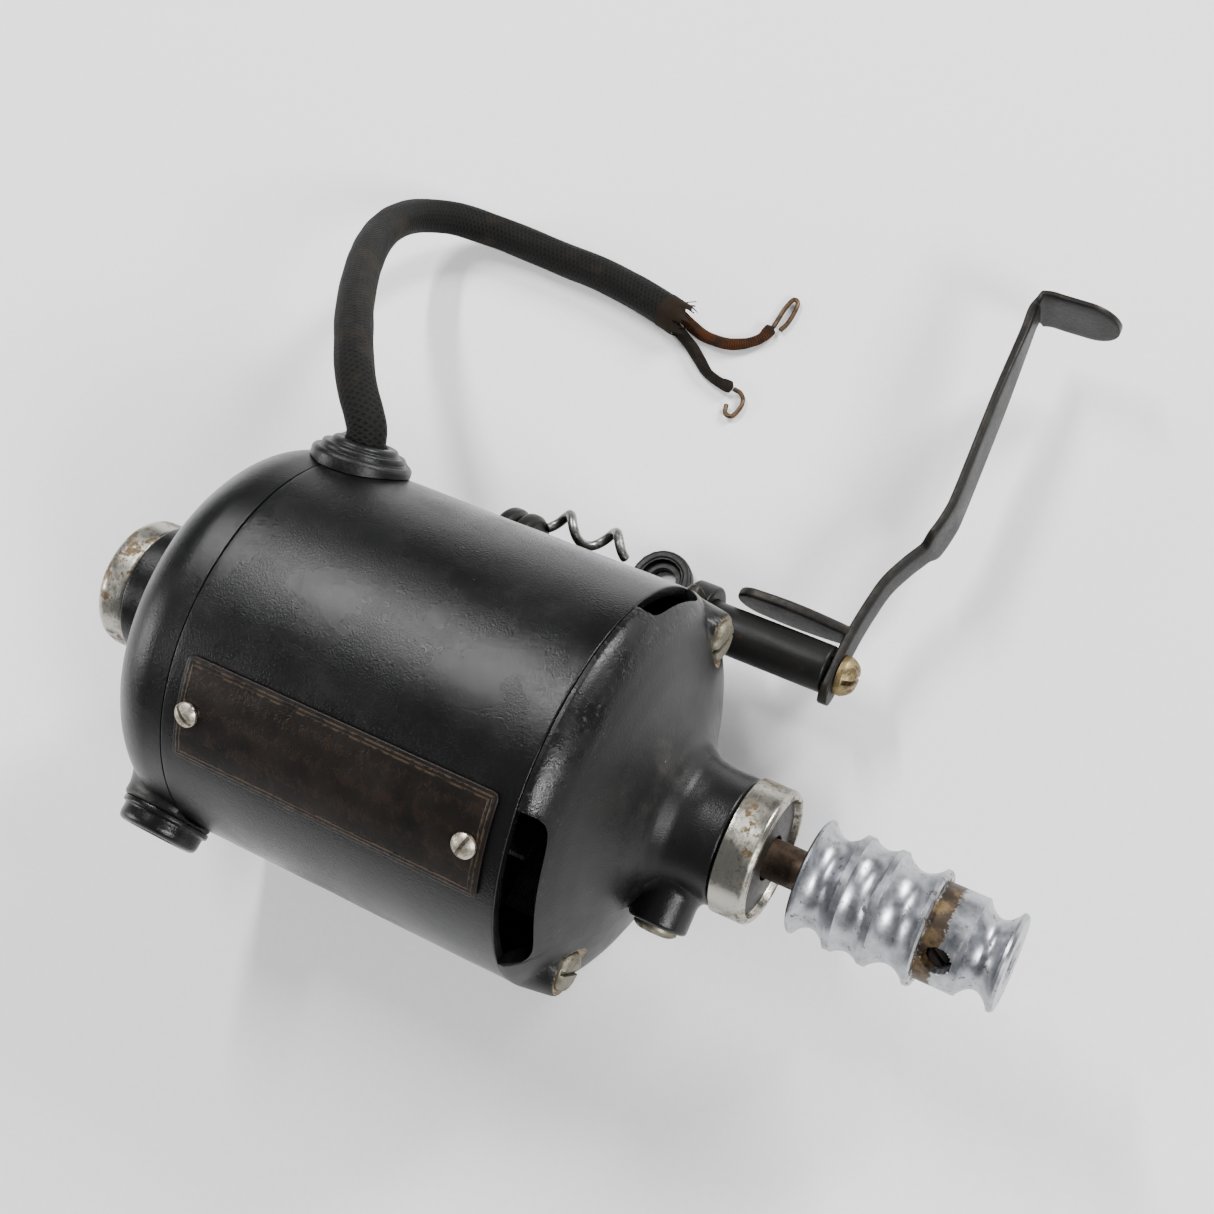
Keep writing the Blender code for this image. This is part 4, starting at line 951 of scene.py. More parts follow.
class Look(Enum):
    """The motor's finishes."""

    BODY = Japanning("body_enamel", wear=0.30, pits=0.85)
    CONE = Japanning(
        "cone_enamel", (0.005, 0.005, 0.005), (0.036, 0.034, 0.031), (0.26, 0.40), 0.6, 0.6, scuffed_band=True
    )
    BOSS = Japanning("boss_enamel", (0.0045, 0.0045, 0.0045), (0.05, 0.047, 0.042), (0.20, 0.34), 0.5, 0.8)
    NICKEL = Metal(
        "nickel", (0.34, 0.325, 0.285), (0.085, 0.052, 0.02), (0.16, 0.145, 0.11), (0.17, 0.36), 0.9,
        (1.0, 0.12, 0.12), 0.5, 0.008, 0.03, patch=3.6,
    )
    SCREW = Metal(
        "screw_nickel", (0.42, 0.39, 0.33), (0.10, 0.065, 0.03), (0.20, 0.175, 0.13), (0.25, 0.45),
        0.6, patch=1.6,
    )
    PULLEY = PulleySteel()
    SHAFT = Metal(
        "rusty_steel", (0.065, 0.043, 0.027), (0.022, 0.012, 0.006), (0.035, 0.022, 0.014), (0.42, 0.62), 0.9,
        (1.0, 0.2, 0.2), 0.6, 0.03, 0.02, 0.7, 2.5,
    )
    BRASS = Metal(
        "brass", (0.25, 0.19, 0.095), (0.055, 0.036, 0.018), (0.13, 0.10, 0.05), (0.3, 0.5),
        0.8, patch=2.0,
    )
    TAN = Metal(
        "bare_boss", (0.17, 0.16, 0.12), (0.06, 0.045, 0.03), (0.11, 0.10, 0.075), (0.4, 0.6),
        0.6, patch=1.6,
    )
    SPRING = Metal(
        "spring_steel", (0.24, 0.24, 0.225), (0.03, 0.025, 0.02), (0.08, 0.075, 0.066),
        (0.24, 0.4), 0.8, patch=2.4,
    )
    BRONZE = Metal("bronze", (0.42, 0.25, 0.12), (0.12, 0.06, 0.03), (0.25, 0.16, 0.08))
    PLATE = PlateBronze()
    STEEL = WornPaint("blackened_steel")
    TUBE = WornPaint(
        "tube_black", (0.007, 0.0068, 0.0065), (0.03, 0.026, 0.022), 0.33, 0.3, (0.08, 1.0, 1.0),
        0.25,
    )
    LEVER = WornPaint("lever_black", rim=0.5, roughness=0.40)
    BOLT = WornPaint("bolt_steel", (0.012, 0.010, 0.008), (0.06, 0.048, 0.034), 0.42, 0.5, rust=0.5)
    HOLDER = Moulding("moulded_black", roughness=0.28, dust=0.10)
    RUBBER = Moulding("rubber", (0.004, 0.004, 0.0043), 0.36, 0.14, 0.02)
    CARBON = Moulding("carbon", (0.03, 0.03, 0.032), 0.5, 0.1)
    FIBRE = Moulding("fibre", (0.16, 0.045, 0.025), 0.65, 0.3, 0.04)
    FELT = Moulding("felt", (0.22, 0.20, 0.16), 0.9, 0.4, 0.12)
    BRAID = Braid()
    RUST_CLOTH = Lapping("rust_cloth", (0.014, 0.005, 0.002), (0.070, 0.022, 0.006))
    DARK_CLOTH = Lapping("dark_cloth", (0.003, 0.0024, 0.0018), (0.012, 0.0085, 0.006))
    FRAY = Lapping("frayed_cloth", (0.004, 0.0026, 0.0016), (0.022, 0.013, 0.007), 0.8)
    STRANDS = Metal(
        "bare_wire", (0.085, 0.055, 0.034), (0.03, 0.018, 0.01), (0.07, 0.048, 0.03), (0.35, 0.55),
        0.8, patch=1.5,
    )
    IRON = Striped("lamination", (0.22, 0.22, 0.23), (0.04, 0.035, 0.03), 0.9, 0.4)
    WINDING = Striped("enamelled_wire", (0.22, 0.075, 0.025), (0.05, 0.015, 0.006), 0.4, 0.35, 0.9)
    COPPER = Striped("copper", (0.55, 0.27, 0.14), (0.05, 0.035, 0.025), 1.0, 0.3, bars=24)
    FLOOR = Floor()


# ------------------------------------------------------------------ pieces
class Body(str, Enum):
    """The bodies that pieces ride on."""

    MOTOR = "motor"
    ROTOR = "rotor"
    LEVER = "lever"


SLOT_OF = {part["node"]: part["material_slot"] for part in frame["record"]["subparts"]}


def settle(
    piece: bpy.types.Object,
    look: Look,
    body: Body = Body.MOTOR,
    nodes: Sequence[str] = (),
) -> bpy.types.Object:
    """Dresses a piece, hides the CAD nodes it stands for, and seats it on its body.

    Args:
        piece: The piece.
        look: Its finish.
        body: What it rides on.
        nodes: The CAD nodes that it replaces.

    Returns:
        The same piece.
    """
    piece.data.materials.append(look.value.material())
    if nodes:
        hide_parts(*nodes)
    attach(piece, body.value)
    log.info("%s: %s on %s", piece.name, look.value.name, body.value)
    return piece


def smooth(value: Array, low: float, high: float) -> Array:
    """0 at low and 1 at high, with a smooth change; high may be the lower one."""
    share = np.clip((value - low) / (high - low), 0, 1)
    return share * share * (3 - 2 * share)


def boss(
    name: str,
    place: Pair,
    top: float,
    radius: float,
    bore: float,
    flare: float,
    skin: Array,
    limit: float = math.inf,
) -> bpy.types.Object:
    """A round boss that grows out of a bell through a hollow curve.

    The bell's height beside the boss is sqrt(R(x)^2 - side^2).  The foot follows it and rises
    from it by (1 - cos) of an angle while the radius draws in by (1 - sin) of it.

    Args:
        name: The piece's name.
        place: The boss's station, and its angle in degrees.
        top: The top's distance from the motor's axis.
        radius: The boss's radius.
        bore: Its hole's radius.
        flare: The most that the foot spreads and rises.
        skin: The bell's outer line as (radius, station) rows.
        limit: The highest station that it may reach.

    Returns:
        The closed piece.
    """
    x, angle = place
    order = np.argsort(skin[:, 1])
    line = skin[order]
    turn = np.arange(120) / 120 * TURN

    def beside(out: Array) -> Array:
        """The bell's height at a distance from the boss's axis."""
        around = np.interp(x + out * np.cos(turn), line[:, 1], line[:, 0])
        return np.sqrt(np.maximum(around**2 - (out * np.sin(turn)) ** 2, 1.0))

    edge = 0.9
    wall = beside(np.full_like(turn, radius))
    rise = np.clip(top - edge - wall, 0.15, flare)
    rows: List[Tuple[Array, Array]] = []
    for bend in np.linspace(0, math.pi / 2, 12):
        out = radius + rise * (1 - math.sin(bend))
        rows.append((out, beside(out) + rise * (1 - math.cos(bend)) - 0.3 * math.cos(bend)))
    for bend in np.linspace(0.0, math.pi / 2, 6):
        height = np.full_like(turn, top - edge * (1 - math.sin(bend)))
        rows.append((np.full_like(turn, radius - edge * (1 - math.cos(bend))), height))
    for out, height in ((bore + 0.5, top), (bore + 0.15, top - 0.12), (bore, top - 0.5), (bore, top - 5.0)):
        rows.append((np.full_like(turn, out), np.full_like(turn, height)))
    out = np.stack([row[0] for row in rows])
    height = np.stack([row[1] for row in rows])
    points = spoke_seat(x, angle).spread(out, np.broadcast_to(turn, out.shape), height)
    points[..., 0] = np.minimum(points[..., 0], limit)
    return surface(name, points, wrap_rows=True, crease=50.0)


@dataclass
class Housing:
    """The tube, the two bells, their bosses and caps, the plate and the screws."""

    wall: float = 2.4
    hub_bore: float = 8.2
    brush_boss: Tuple[float, float, float, float] = (42.5, 10.0, 6.3, 4.6)
    left_oil_boss: Tuple[float, float, float, float] = (20.0, 4.1, 1.6, 1.3)
    right_oil_boss: Tuple[float, float, float, float] = (20.4, 6.0, 2.2, 2.0)
    left_line: Outline = (
        (22.0, -57.6), (17.4, -60.0), (15.4, -63.4), (15.0, -67.0), (15.0, -72.3), (14.5, -72.8),
    )
    left_arc: Triple = (29.3, -42.6, 12.5)
    right_line: Outline = (
        (41.8, 38.25), (41.8, 39.2), (41.2, 40.4), (39.6, 42.4), (37.2, 44.4), (34.0, 46.3), (29.8, 48.2),
        (24.6, 50.1), (19.4, 52.1), (15.6, 54.2), (13.6, 57.0), (13.0, 60.4), (13.0, 66.1), (12.5, 66.6),
    )
    right_inside: Outline = (
        (8.2, 66.6), (8.2, 51.0), (16.5, 50.2), (21.8, 48.1), (27.0, 46.2), (31.0, 44.4), (34.2, 42.8),
        (37.0, 41.2), (39.0, 39.6), (39.4, 38.25),
    )
    vents: Path = (
        (15.0, 65.5, 44.1), (131.0, 164.0, 41.9), (215.0, 265.0, 44.1),
    )
    vent_root: float = 47.2
    bolt_circle: float = 35.3
    bolt_angles: Pair = (-5.0, 175.0)
    bolt_face: float = 46.0
    bolt_lip: float = 0.4
    bolt_fades: Tuple[Pair, Pair, Pair] = ((6.6, 5.3), (5.0, 4.7), (5.3, 4.9))
    oil_angle: float = -10.0
    left_oil: float = -68.7
    right_oil: float = 58.2
    plate_x: Pair = (-34.4, 34.6)
    plate_angles: Pair = (38.9, 68.1)
    plate_radii: Pair = (42.0, 42.6)

    def build(self) -> None:
        """Makes every piece of the housing."""
        self.tube()
        self.left_bell()
        self.right_bell()
        self.caps()
        self.bolts()
        self.plate()

    def tube(self) -> None:
        """The rolled steel body, a ring-shaped profile carried round."""
        inner = BODY_RADIUS - self.wall
        end = SEAM - 0.05
        corners = ((inner, -end), (BODY_RADIUS, -end), (BODY_RADIUS, end), (inner, end))
        line = rounded(corners, 0.35, 2.0)
        piece = turned("body_tube", line, MOTOR_SEAT, 192, ring=True, ripple=uneven(3, 0.10))
        settle(piece, Look.BODY, nodes=("motor_body",))

    def left_skin(self) -> Array:
        """The left bell's outer line, from the seam to the hub's end."""
        radius, station, bend = self.left_arc
        shoulder = arc(bend, 0, -72, 26, (radius, station))
        return np.vstack([[(BODY_RADIUS, -38.2)], shoulder, softened(self.left_line, 1.2)])

    def left_bell(self) -> None:
        """A spun bell whose inside is its outside drawn in by the wall."""
        radius, station, bend = self.left_arc
        skin = self.left_skin()
        inside = arc(bend - self.wall, -72, 0, 20, (radius, station))
        hub = np.array(((self.hub_bore, -72.8), (self.hub_bore, -61.0), (19.5, -56.6)))
        line = filled_in(np.vstack([skin, hub, inside, [(BODY_RADIUS - self.wall, -38.2)]]), 2.0)
        piece = turned("left_bell", line, MOTOR_SEAT, 192, ring=True, ripple=uneven(8, 0.14))
        settle(piece, Look.BODY, nodes=("left_end_bell",))
        for side, angle in (("front", 0.0), ("back", 180.0)):
            piece = boss(f"{side}_brush_boss", (BRUSH_X, angle), *self.brush_boss, skin, -38.3)
            settle(piece, Look.BOSS)
        right_skin = np.array(self.right_line)
        piece = boss("left_oil_boss", (self.left_oil, self.oil_angle), *self.left_oil_boss, skin)
        settle(piece, Look.BOSS)
        piece = boss("right_oil_boss", (self.right_oil, self.oil_angle), *self.right_oil_boss, right_skin)
        settle(piece, Look.BOSS)

    def right_bell(self) -> None:
        """The vented bell: a closed section carried round, then shaped in place.

        Where a vent is, the section's start is drawn along the axis to the vent's end by
        (1 - u^6)^(1/6), u running from -1 to 1 across the vent, and what follows is squeezed
        towards the vent's root.  Near a bolt, stations are pulled up to a lip and then to the
        bolt's flat face; the mask "spot" is 1 where the face is worn bare.
        """
        outside = filled_in(softened(self.right_line, 1.0), 0.65)
        inside = filled_in(np.array(self.right_inside), 2.0)
        line = np.vstack([outside, inside])
        columns = 420
        turn = np.arange(columns) / columns
        angle = turn * 360.0
        first = self.right_line[0][1]
        start = np.full(columns, first)
        for low, high, end in self.vents:
            u = np.clip((angle - (low + high) / 2) / ((high - low) / 2), -1, 1)
            start = np.maximum(start, start + (end - start) * (1 - np.abs(u) ** 6) ** (1 / 6))
        station = np.repeat(line[:, 1:], columns, axis=1)
        share = np.clip((self.vent_root - station) / (self.vent_root - first), 0, 1)
        station = station + (start - first) * share
        outer = np.interp(station, outside[:, 1], outside[:, 0])
        hollow = inside[np.argsort(inside[:, 1])]
        inner = np.interp(station, hollow[:, 1], hollow[:, 0])
        is_outer = (np.arange(len(line)) < len(outside))[:, None]
        radius = np.where(share > 0, np.where(is_outer, outer, inner), line[:, :1])
        spot = np.zeros_like(radius)
        for bolt in self.bolt_angles:
            away = np.radians(angle - bolt)
            gap = np.sqrt(radius**2 + self.bolt_circle**2 - 2 * radius * self.bolt_circle * np.cos(away))
            rim, face, worn = (smooth(gap, *fade) * is_outer for fade in self.bolt_fades)
            raised = station + rim * np.maximum(self.bolt_face + self.bolt_lip - station, 0)
            station = raised + (self.bolt_face - raised) * face
            spot = np.maximum(spot, worn)
        turns = np.broadcast_to(turn, radius.shape)
        radius = radius + uneven(12, 0.12)(turns, station)
        points = MOTOR_SEAT.spread(radius, turns * TURN, station)
        piece = surface("right_bell", points, wrap_rows=True, masks={"spot": spot})
        settle(piece, Look.CONE, nodes=("right_end_bell",))

    def caps(self) -> None:
        """The nickelled bearing caps and the slotted oil plugs."""
        left = ((0, -73.0), (14.3, -73.0), (14.4, -78.2), (13.7, -79.6), (12.0, -80.3), (0, -80.5))
        line = filled_in(softened(left, 0.8), 1.2)
        piece = turned("left_cap", line, MOTOR_SEAT, 128, ripple=uneven(5, 0.1))
        settle(piece, Look.NICKEL, nodes=("left_bearing_cap",))
        right = (
            (12.9, 74.3), (13.6, 73.4), (13.6, 66.9), (4.7, 66.9),
            (4.7, 71.6), (10.6, 71.6), (11.8, 72.8), (12.1, 74.3),
        )
        line = rounded(right, 0.35, 1.2)
        piece = turned("right_cap", line, MOTOR_SEAT, 128, ring=True, ripple=uneven(6, 0.08))
        settle(piece, Look.NICKEL, nodes=("right_bearing_cap",))
        shield = softened(((4.6, 71.7), (10.9, 71.7), (11.6, 73.0), (4.6, 73.6)), 0.2, closed=True)
        piece = turned("right_cap_shield", shield, MOTOR_SEAT, 96, ring=True)
        settle(piece, Look.BOLT)
        for side, x, size, look in (
            ("right", self.right_oil, (4.4, 20.5, 1.5, 0.5, 62, 0.5), Look.TAN),
            ("left", self.left_oil, (3.4, 20.1, 1.5, 0.5, 18, 0.4), Look.BRASS),
        ):
            plug = slotted(f"{side}_plug", spoke_seat(x, self.oil_angle), *size)
            settle(plug, look, nodes=(f"{side}_oil_plug",))

    def bolts(self) -> None:
        """The two long bolts: slotted heads on the right bell and their shanks inside."""
        for side, angle, skew in (("front", self.bolt_angles[0], 74), ("back", self.bolt_angles[1], 35)):
            _, y, z = (self.bolt_circle * part for part in radial(angle))
            seat = Seat((0.0, y, AXIS_HEIGHT + z), ALONG_X, TO_FRONT)
            head = slotted(f"{side}_bolt_head", seat, 4.2, 46.0, 1.7, 0.5, skew, 0.75)
            settle(head, Look.TAN, nodes=(f"{side}_through_bolt",))
            line = softened(((0, -36.0), (2.0, -36.0), (2.0, 46.4), (0, 46.4)), 0.4)
            shank = turned(f"{side}_bolt_shank", line, seat, 24)
            settle(shank, Look.BOLT)

    def plate(self) -> None:
        """The curved plate, bent round the body, and its two screws."""
        length = self.plate_x[1] - self.plate_x[0]
        low, high = (math.radians(angle) for angle in self.plate_angles)
        mean = sum(self.plate_radii) / 2
        height = (high - low) * mean
        corners = np.array(((-1, -1), (1, -1), (1, 1), (-1, 1))) * (length / 2, height / 2)
        outline = rounded(corners, 1.6, 1.0, loop=True)

        def bend(flat: Array) -> Array:
            """The flat sheet's second direction goes round the body."""
            angle = (low + high) / 2 + flat[..., 1] / mean
            station = flat[..., 0] + (self.plate_x[0] + self.plate_x[1]) / 2
            return MOTOR_SEAT.spread(flat[..., 2], angle, station)

        rings = tuple(np.linspace(0, 0.96, 16))
        piece = slab("name_plate", outline, *self.plate_radii, 0.22, bend, rings=rings)
        settle(piece, Look.PLATE, nodes=("rating_plate",))
        for side, x, skew in (("left", -31.6, 40), ("right", 30.8, 112)):
            screw = slotted(f"{side}_plate_screw", spoke_seat(x, 52.7), 2.5, 42.7, 1.65, 0.35, skew)
            settle(screw, Look.SCREW, nodes=(f"plate_screw_{side}",))


@dataclass
class BrushGear:
    """The two brush holders, their slotted caps and the springs under them."""

    coil: Pair = (2.6, 0.35)
    coil_ends: Pair = (24.9, 39.4)
    turns: int = 4
    travel: float = 4.0
    ring: Outline = (
        (7.7, 47.4), (8.5, 46.9), (8.75, 46.0), (8.75, 43.9), (9.5, 43.7), (9.5, 42.5), (6.2, 42.5),
        (6.2, 33.0), (4.5, 33.0), (4.5, 40.0), (5.9, 40.2), (5.9, 46.8), (6.5, 47.4),
    )

    def build(self) -> None:
        """Front and back alike, but for the turn of the slot."""
        for side, angle, skew in (("front", 0.0, 24.0), ("back", 180.0, 71.0)):
            seat = spoke_seat(BRUSH_X, angle)
            line = rounded(self.ring, 0.4, 1.2)
            holder = turned(f"{side}_holder", line, seat, 96, ring=True, ripple=uneven(9, 0.05))
            settle(holder, Look.HOLDER, nodes=(f"{side}_brush_holder",))
            cap = slotted(f"{side}_cap", seat, 5.6, 40.4, 2.6, 0.6, skew, 0.88)
            settle(cap, Look.HOLDER, nodes=(f"{side}_brush_cap",))
            self.spring(side, seat)

    def spring(self, side: str, seat: Seat) -> None:
        """A coil between brush and cap.

        Args:
            side: Which brush it presses.
            seat: The brush's axis.
        """
        radius, wire_radius = self.coil
        start, stop = self.coil_ends
        share = np.linspace(0, 1, 24 * self.turns + 1)
        turn = TURN * self.turns * share
        path = seat.spread(np.full_like(share, radius), turn, start + (stop - start) * share)
        piece = wire(f"{side}_spring", path, wire_radius, 10)
        settle(piece, Look.SPRING, nodes=(f"{side}_brush_spring",))
        anchor = seat.spread(np.array(0.0), np.array(0.0), np.array(stop + wire_radius)) * MM
        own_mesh(piece)


@dataclass
class Drive:
    """The shaft, the grooved pulley and its set screw."""

    shaft: Triple = (3.97, -70.0, 119.9)
    rim: float = 11.35
    collar: Triple = (9.45, 106.1, 113.6)
    hollows: Tuple[Tuple[float, float, float, float], ...] = (
        (82.4, 89.2, 11.35, 8.9), (90.6, 96.0, 11.35, 10.2), (97.2, 104.9, 11.35, 9.1),
        (113.9, 120.2, 9.45, 6.9),
    )
    screw: Triple = (109.7, 48.0, 2.5)
    screw_depth: float = 4.2

    def build(self) -> None:
        """All three turn with the rotor."""
        radius, start, stop = self.shaft
        line = filled_in(softened(((0, start), (radius, start), (radius, stop), (0, stop)), 0.6), 2.0)
        piece = turned("shaft", line, MOTOR_SEAT, 64, ripple=uneven(21, 0.03))
        settle(piece, Look.SHAFT, Body.ROTOR, ("rotor_shaft",))
        settle(self.pulley(), Look.PULLEY, Body.ROTOR, ("drive_pulley",))
        x, angle, size = self.screw
        piece = slotted("grub_screw", spoke_seat(x, angle), size - 0.15, 5.0, 2.6, 0.4, 35, 0.7)
        settle(piece, Look.BOLT, Body.ROTOR, ("pulley_set_screw",))

    def pulley(self) -> bpy.types.Object:
        """Hollows between flat lands: depth goes as sin(pi * share)^0.8 across each."""
        spots: List[Pair] = [(4.05, 81.6), (10.9, 81.6), (self.rim, 82.0)]
        for start, stop, edge, floor in self.hollows[:3]:
            spots += self.hollow(start, stop, edge, floor)
        girth, start, stop = self.collar
        spots += [(self.rim, 105.6), (11.0, 106.0), (girth, start), (girth, stop)]
        spots += self.hollow(*self.hollows[3])
        spots += [(9.55, 120.7), (9.1, 121.3), (4.6, 121.3), (4.05, 120.8)]
        line = filled_in(np.array(spots), 0.45)
        x, angle, size = self.screw
        dents = uneven(14, 0.004, 3)

        def shape(turn: Array, station: Array) -> Array:
            """Small dents, and the set screw's hole sunk in the collar."""
            gap = np.hypot(station - x, np.radians(turn * 360 - angle) * girth)
            return dents(turn, station) - self.screw_depth * smooth(gap, size + 0.15, size - 0.1)

        return turned("pulley", line, MOTOR_SEAT, 360, ring=True, ripple=shape)

    @staticmethod
    def hollow(start: float, stop: float, edge: float, floor: float) -> List[Pair]:
        """The line across one hollow."""
        share = np.linspace(0, 1, 21)
        radius = edge - (edge - floor) * np.sin(math.pi * share) ** 0.8
        return list(zip(radius.tolist(), (start + (stop - start) * share).tolist()))


@dataclass
class Cord:
    """The braided cord, its torn end, the two lapped conductors and their bare ends."""

    radius: float = 4.2
    conductor: float = 1.45
    strand: float = 0.58
    route: Path = (
        (-35.0, 37.8, 65.3), (-35.6, 43.1, 68.0), (-37.4, 46.1, 69.6), (-40.6, 49.7, 70.3),
        (-45.0, 54.9, 69.6), (-50.4, 61.5, 66.5), (-57.7, 70.2, 61.0), (-65.0, 79.3, 54.0),
        (-72.6, 89.2, 45.5), (-79.4, 99.3, 36.5), (-84.0, 108.4, 28.0), (-85.6, 116.0, 20.5),
        (-83.9, 121.4, 14.5), (-79.3, 125.2, 9.8), (-71.2, 127.0, 6.2), (-61.2, 127.2, 4.6),
        (-50.4, 126.4, 4.3), (-39.6, 125.7, 4.3), (-29.4, 124.2, 4.3), (-20.3, 122.2, 4.3),
        (-15.4, 120.9, 4.3),
    )
    rust: Path = (
        (-17.5, 121.8, 3.4), (-14.2, 121.9, 2.9), (-11.0, 120.9, 2.1), (-6.5, 119.5, 1.8), (-1.0, 119.4, 1.8),
        (3.5, 121.1, 1.8), (6.4, 123.6, 1.8), (7.6, 126.6, 1.8),
    )
    dark: Path = (
        (-18.0, 120.6, 3.6), (-14.9, 118.9, 2.9), (-12.0, 117.6, 2.1), (-9.1, 116.0, 1.8), (-5.6, 113.4, 1.8),
        (-1.9, 110.6, 1.8), (1.9, 109.2, 1.8), (5.0, 108.8, 1.8),
    )
    loop: Path = (
        (7.9, 127.5, 1.6), (8.0, 130.4, 1.2), (8.3, 133.6, 1.2), (9.2, 136.4, 1.2), (10.6, 136.0, 1.2),
        (10.9, 133.0, 1.2), (10.6, 129.8, 1.2), (9.8, 127.6, 1.2),
    )
    hook: Path = (
        (6.2, 108.8, 1.5), (8.0, 108.5, 1.2), (9.5, 106.9, 1.2), (9.7, 104.4, 1.2), (8.7, 102.0, 1.2),
        (6.9, 102.3, 1.2), (6.2, 104.4, 1.2),
    )
    grommet: Outline = (
        (4.6, 38.0), (4.6, 46.2), (5.0, 46.6), (6.4, 46.6), (7.0, 46.1), (7.2, 45.3),
        (8.6, 45.3), (8.9, 44.8), (8.9, 43.9), (10.0, 43.9), (10.6, 43.2), (10.6, 38.0),
    )
    grommet_place: Pair = (-35.0, 153.0)
    grommet_skin: float = 42.0

    def build(self) -> None:
        """The grommet, then the cord with all that hangs on its end."""
        line = rounded(self.grommet, 0.35, 1.0)
        seat, skin = spoke_seat(*self.grommet_place), self.grommet_skin
        piece = turned("grommet", line, seat, 96, ring=True, ripple=uneven(2, 0.12), skin=skin)
        settle(piece, Look.RUBBER, nodes=("cord_grommet",))
        path = through(self.route, 8)
        lead = wire("lead", path, self.radius, 48, ripple=uneven(4, 0.16, 9), blunt=0.12)
        settle(lead, Look.BRAID, nodes=("supply_cord",))
        ends = [*self.conductors(), *self.bare_ends(), self.flap(), *self.threads()]

    def conductors(self) -> List[bpy.types.Object]:
        """Lapped wires that swell into a lump where their covering is cut."""
        made = []
        for name, route, look, seed in (
            ("rust_conductor", self.rust, Look.RUST_CLOTH, 31),
            ("dark_conductor", self.dark, Look.DARK_CLOTH, 32),
        ):
            path = through(route, 8)
            share = np.linspace(0, 1, len(path))
            lump, waist = smooth(share, 0.86, 0.97), smooth(share, 0.62, 0.76)
            girth = self.conductor * (1 + 0.22 * lump - 0.16 * waist)
            piece = wire(f"{name}_lapped", path, girth, 24, ripple=uneven(seed, 0.28, 9), blunt=0.5)
            made.append(settle(piece, look, nodes=(name,)))
        return made

    def bare_ends(self) -> List[bpy.types.Object]:
        """Strands bent into a long loop and a hook."""
        made = []
        for name, route, seed in (("wire_loop", self.loop, 41), ("wire_hook", self.hook, 42)):
            path = through(route, 8)
            piece = wire(f"{name}_strands", path, self.strand, 14, ripple=uneven(seed, 0.10, 9))
            made.append(settle(piece, Look.STRANDS, nodes=(name,)))
        return made

    def flap(self) -> bpy.types.Object:
        """A torn tongue of the cord's inner jacket.

        Each row is a thin blade at one angle about the cord; its length follows a sum of sines,
        and its thickness falls to nothing at the two sides as sqrt(sin(pi * share)).
        """
        path = through(self.route, 8)
        heading = (path[-1] - path[-3]) / np.linalg.norm(path[-1] - path[-3])
        side = np.cross(heading, VERTICAL)
        up = np.cross(side, heading)
        share = np.linspace(0, 1, 49)[:, None]
        along = np.linspace(0, 1, 15)[None, :]
        turn = np.radians(-70 + 190 * share)
        reach = 4.6 + 1.5 * np.sin(6 * turn + 1) + 0.9 * np.sin(17 * turn) - 3.4 * np.abs(share - 0.45)
        station = -3.0 + (3.0 + reach) * along
        curl = 0.5 * np.sin(5 * turn) * np.clip(station / 4, 0, 1) - 1.2 * np.clip(station / 6, 0, 1) ** 2
        out = self.radius + 0.15 + curl
        thick = 0.55 * np.sqrt(np.sin(share * math.pi).clip(0)) * (1 - 0.7 * along**4)

        def place(radius: Array) -> Array:
            """Blade points at a radius."""
            spin = np.cos(turn)[..., None] * up + np.sin(turn)[..., None] * side
            return path[-1] + radius[..., None] * spin + station[..., None] * heading

        loop = np.concatenate([place(out), place(out - thick)[:, ::-1]], axis=1)
        loop[..., 2] = np.maximum(loop[..., 2], 0.15)
        return settle(surface("torn_jacket", loop, crease=60.0), Look.FRAY)

    def threads(self) -> List[bpy.types.Object]:
        """Loose threads at the torn end, from a seeded chance."""
        chance = np.random.default_rng(77)
        root = np.array(self.route[-1])
        made = []
        for number in range(12):
            turn = chance.uniform(-0.4, math.pi + 0.4)
            start = root + np.array((-0.6, 3.2 * math.cos(turn), 2.9 * math.sin(turn)))
            spans = ((1.6, 6.0), (-3.4, 3.4), (-2.0, 0.4))
            drift = np.array([chance.uniform(*span) for span in spans])
            bend = chance.uniform(-1.0, 1.0, 3)
            route = np.stack([start, start + drift * 0.4 + 0.5 * bend, start + drift])
            route[:, 2] = np.clip(route[:, 2], 0.4, 8.6)
            piece = wire(f"thread_{number}", through(route, 6), chance.uniform(0.10, 0.2), 6, blunt=0.3)
            made.append(settle(piece, Look.FRAY))
        return made


ROD = (46.75, 18.7)
ROD_SEAT = Seat((0.0, *ROD), ALONG_X, TO_FRONT)


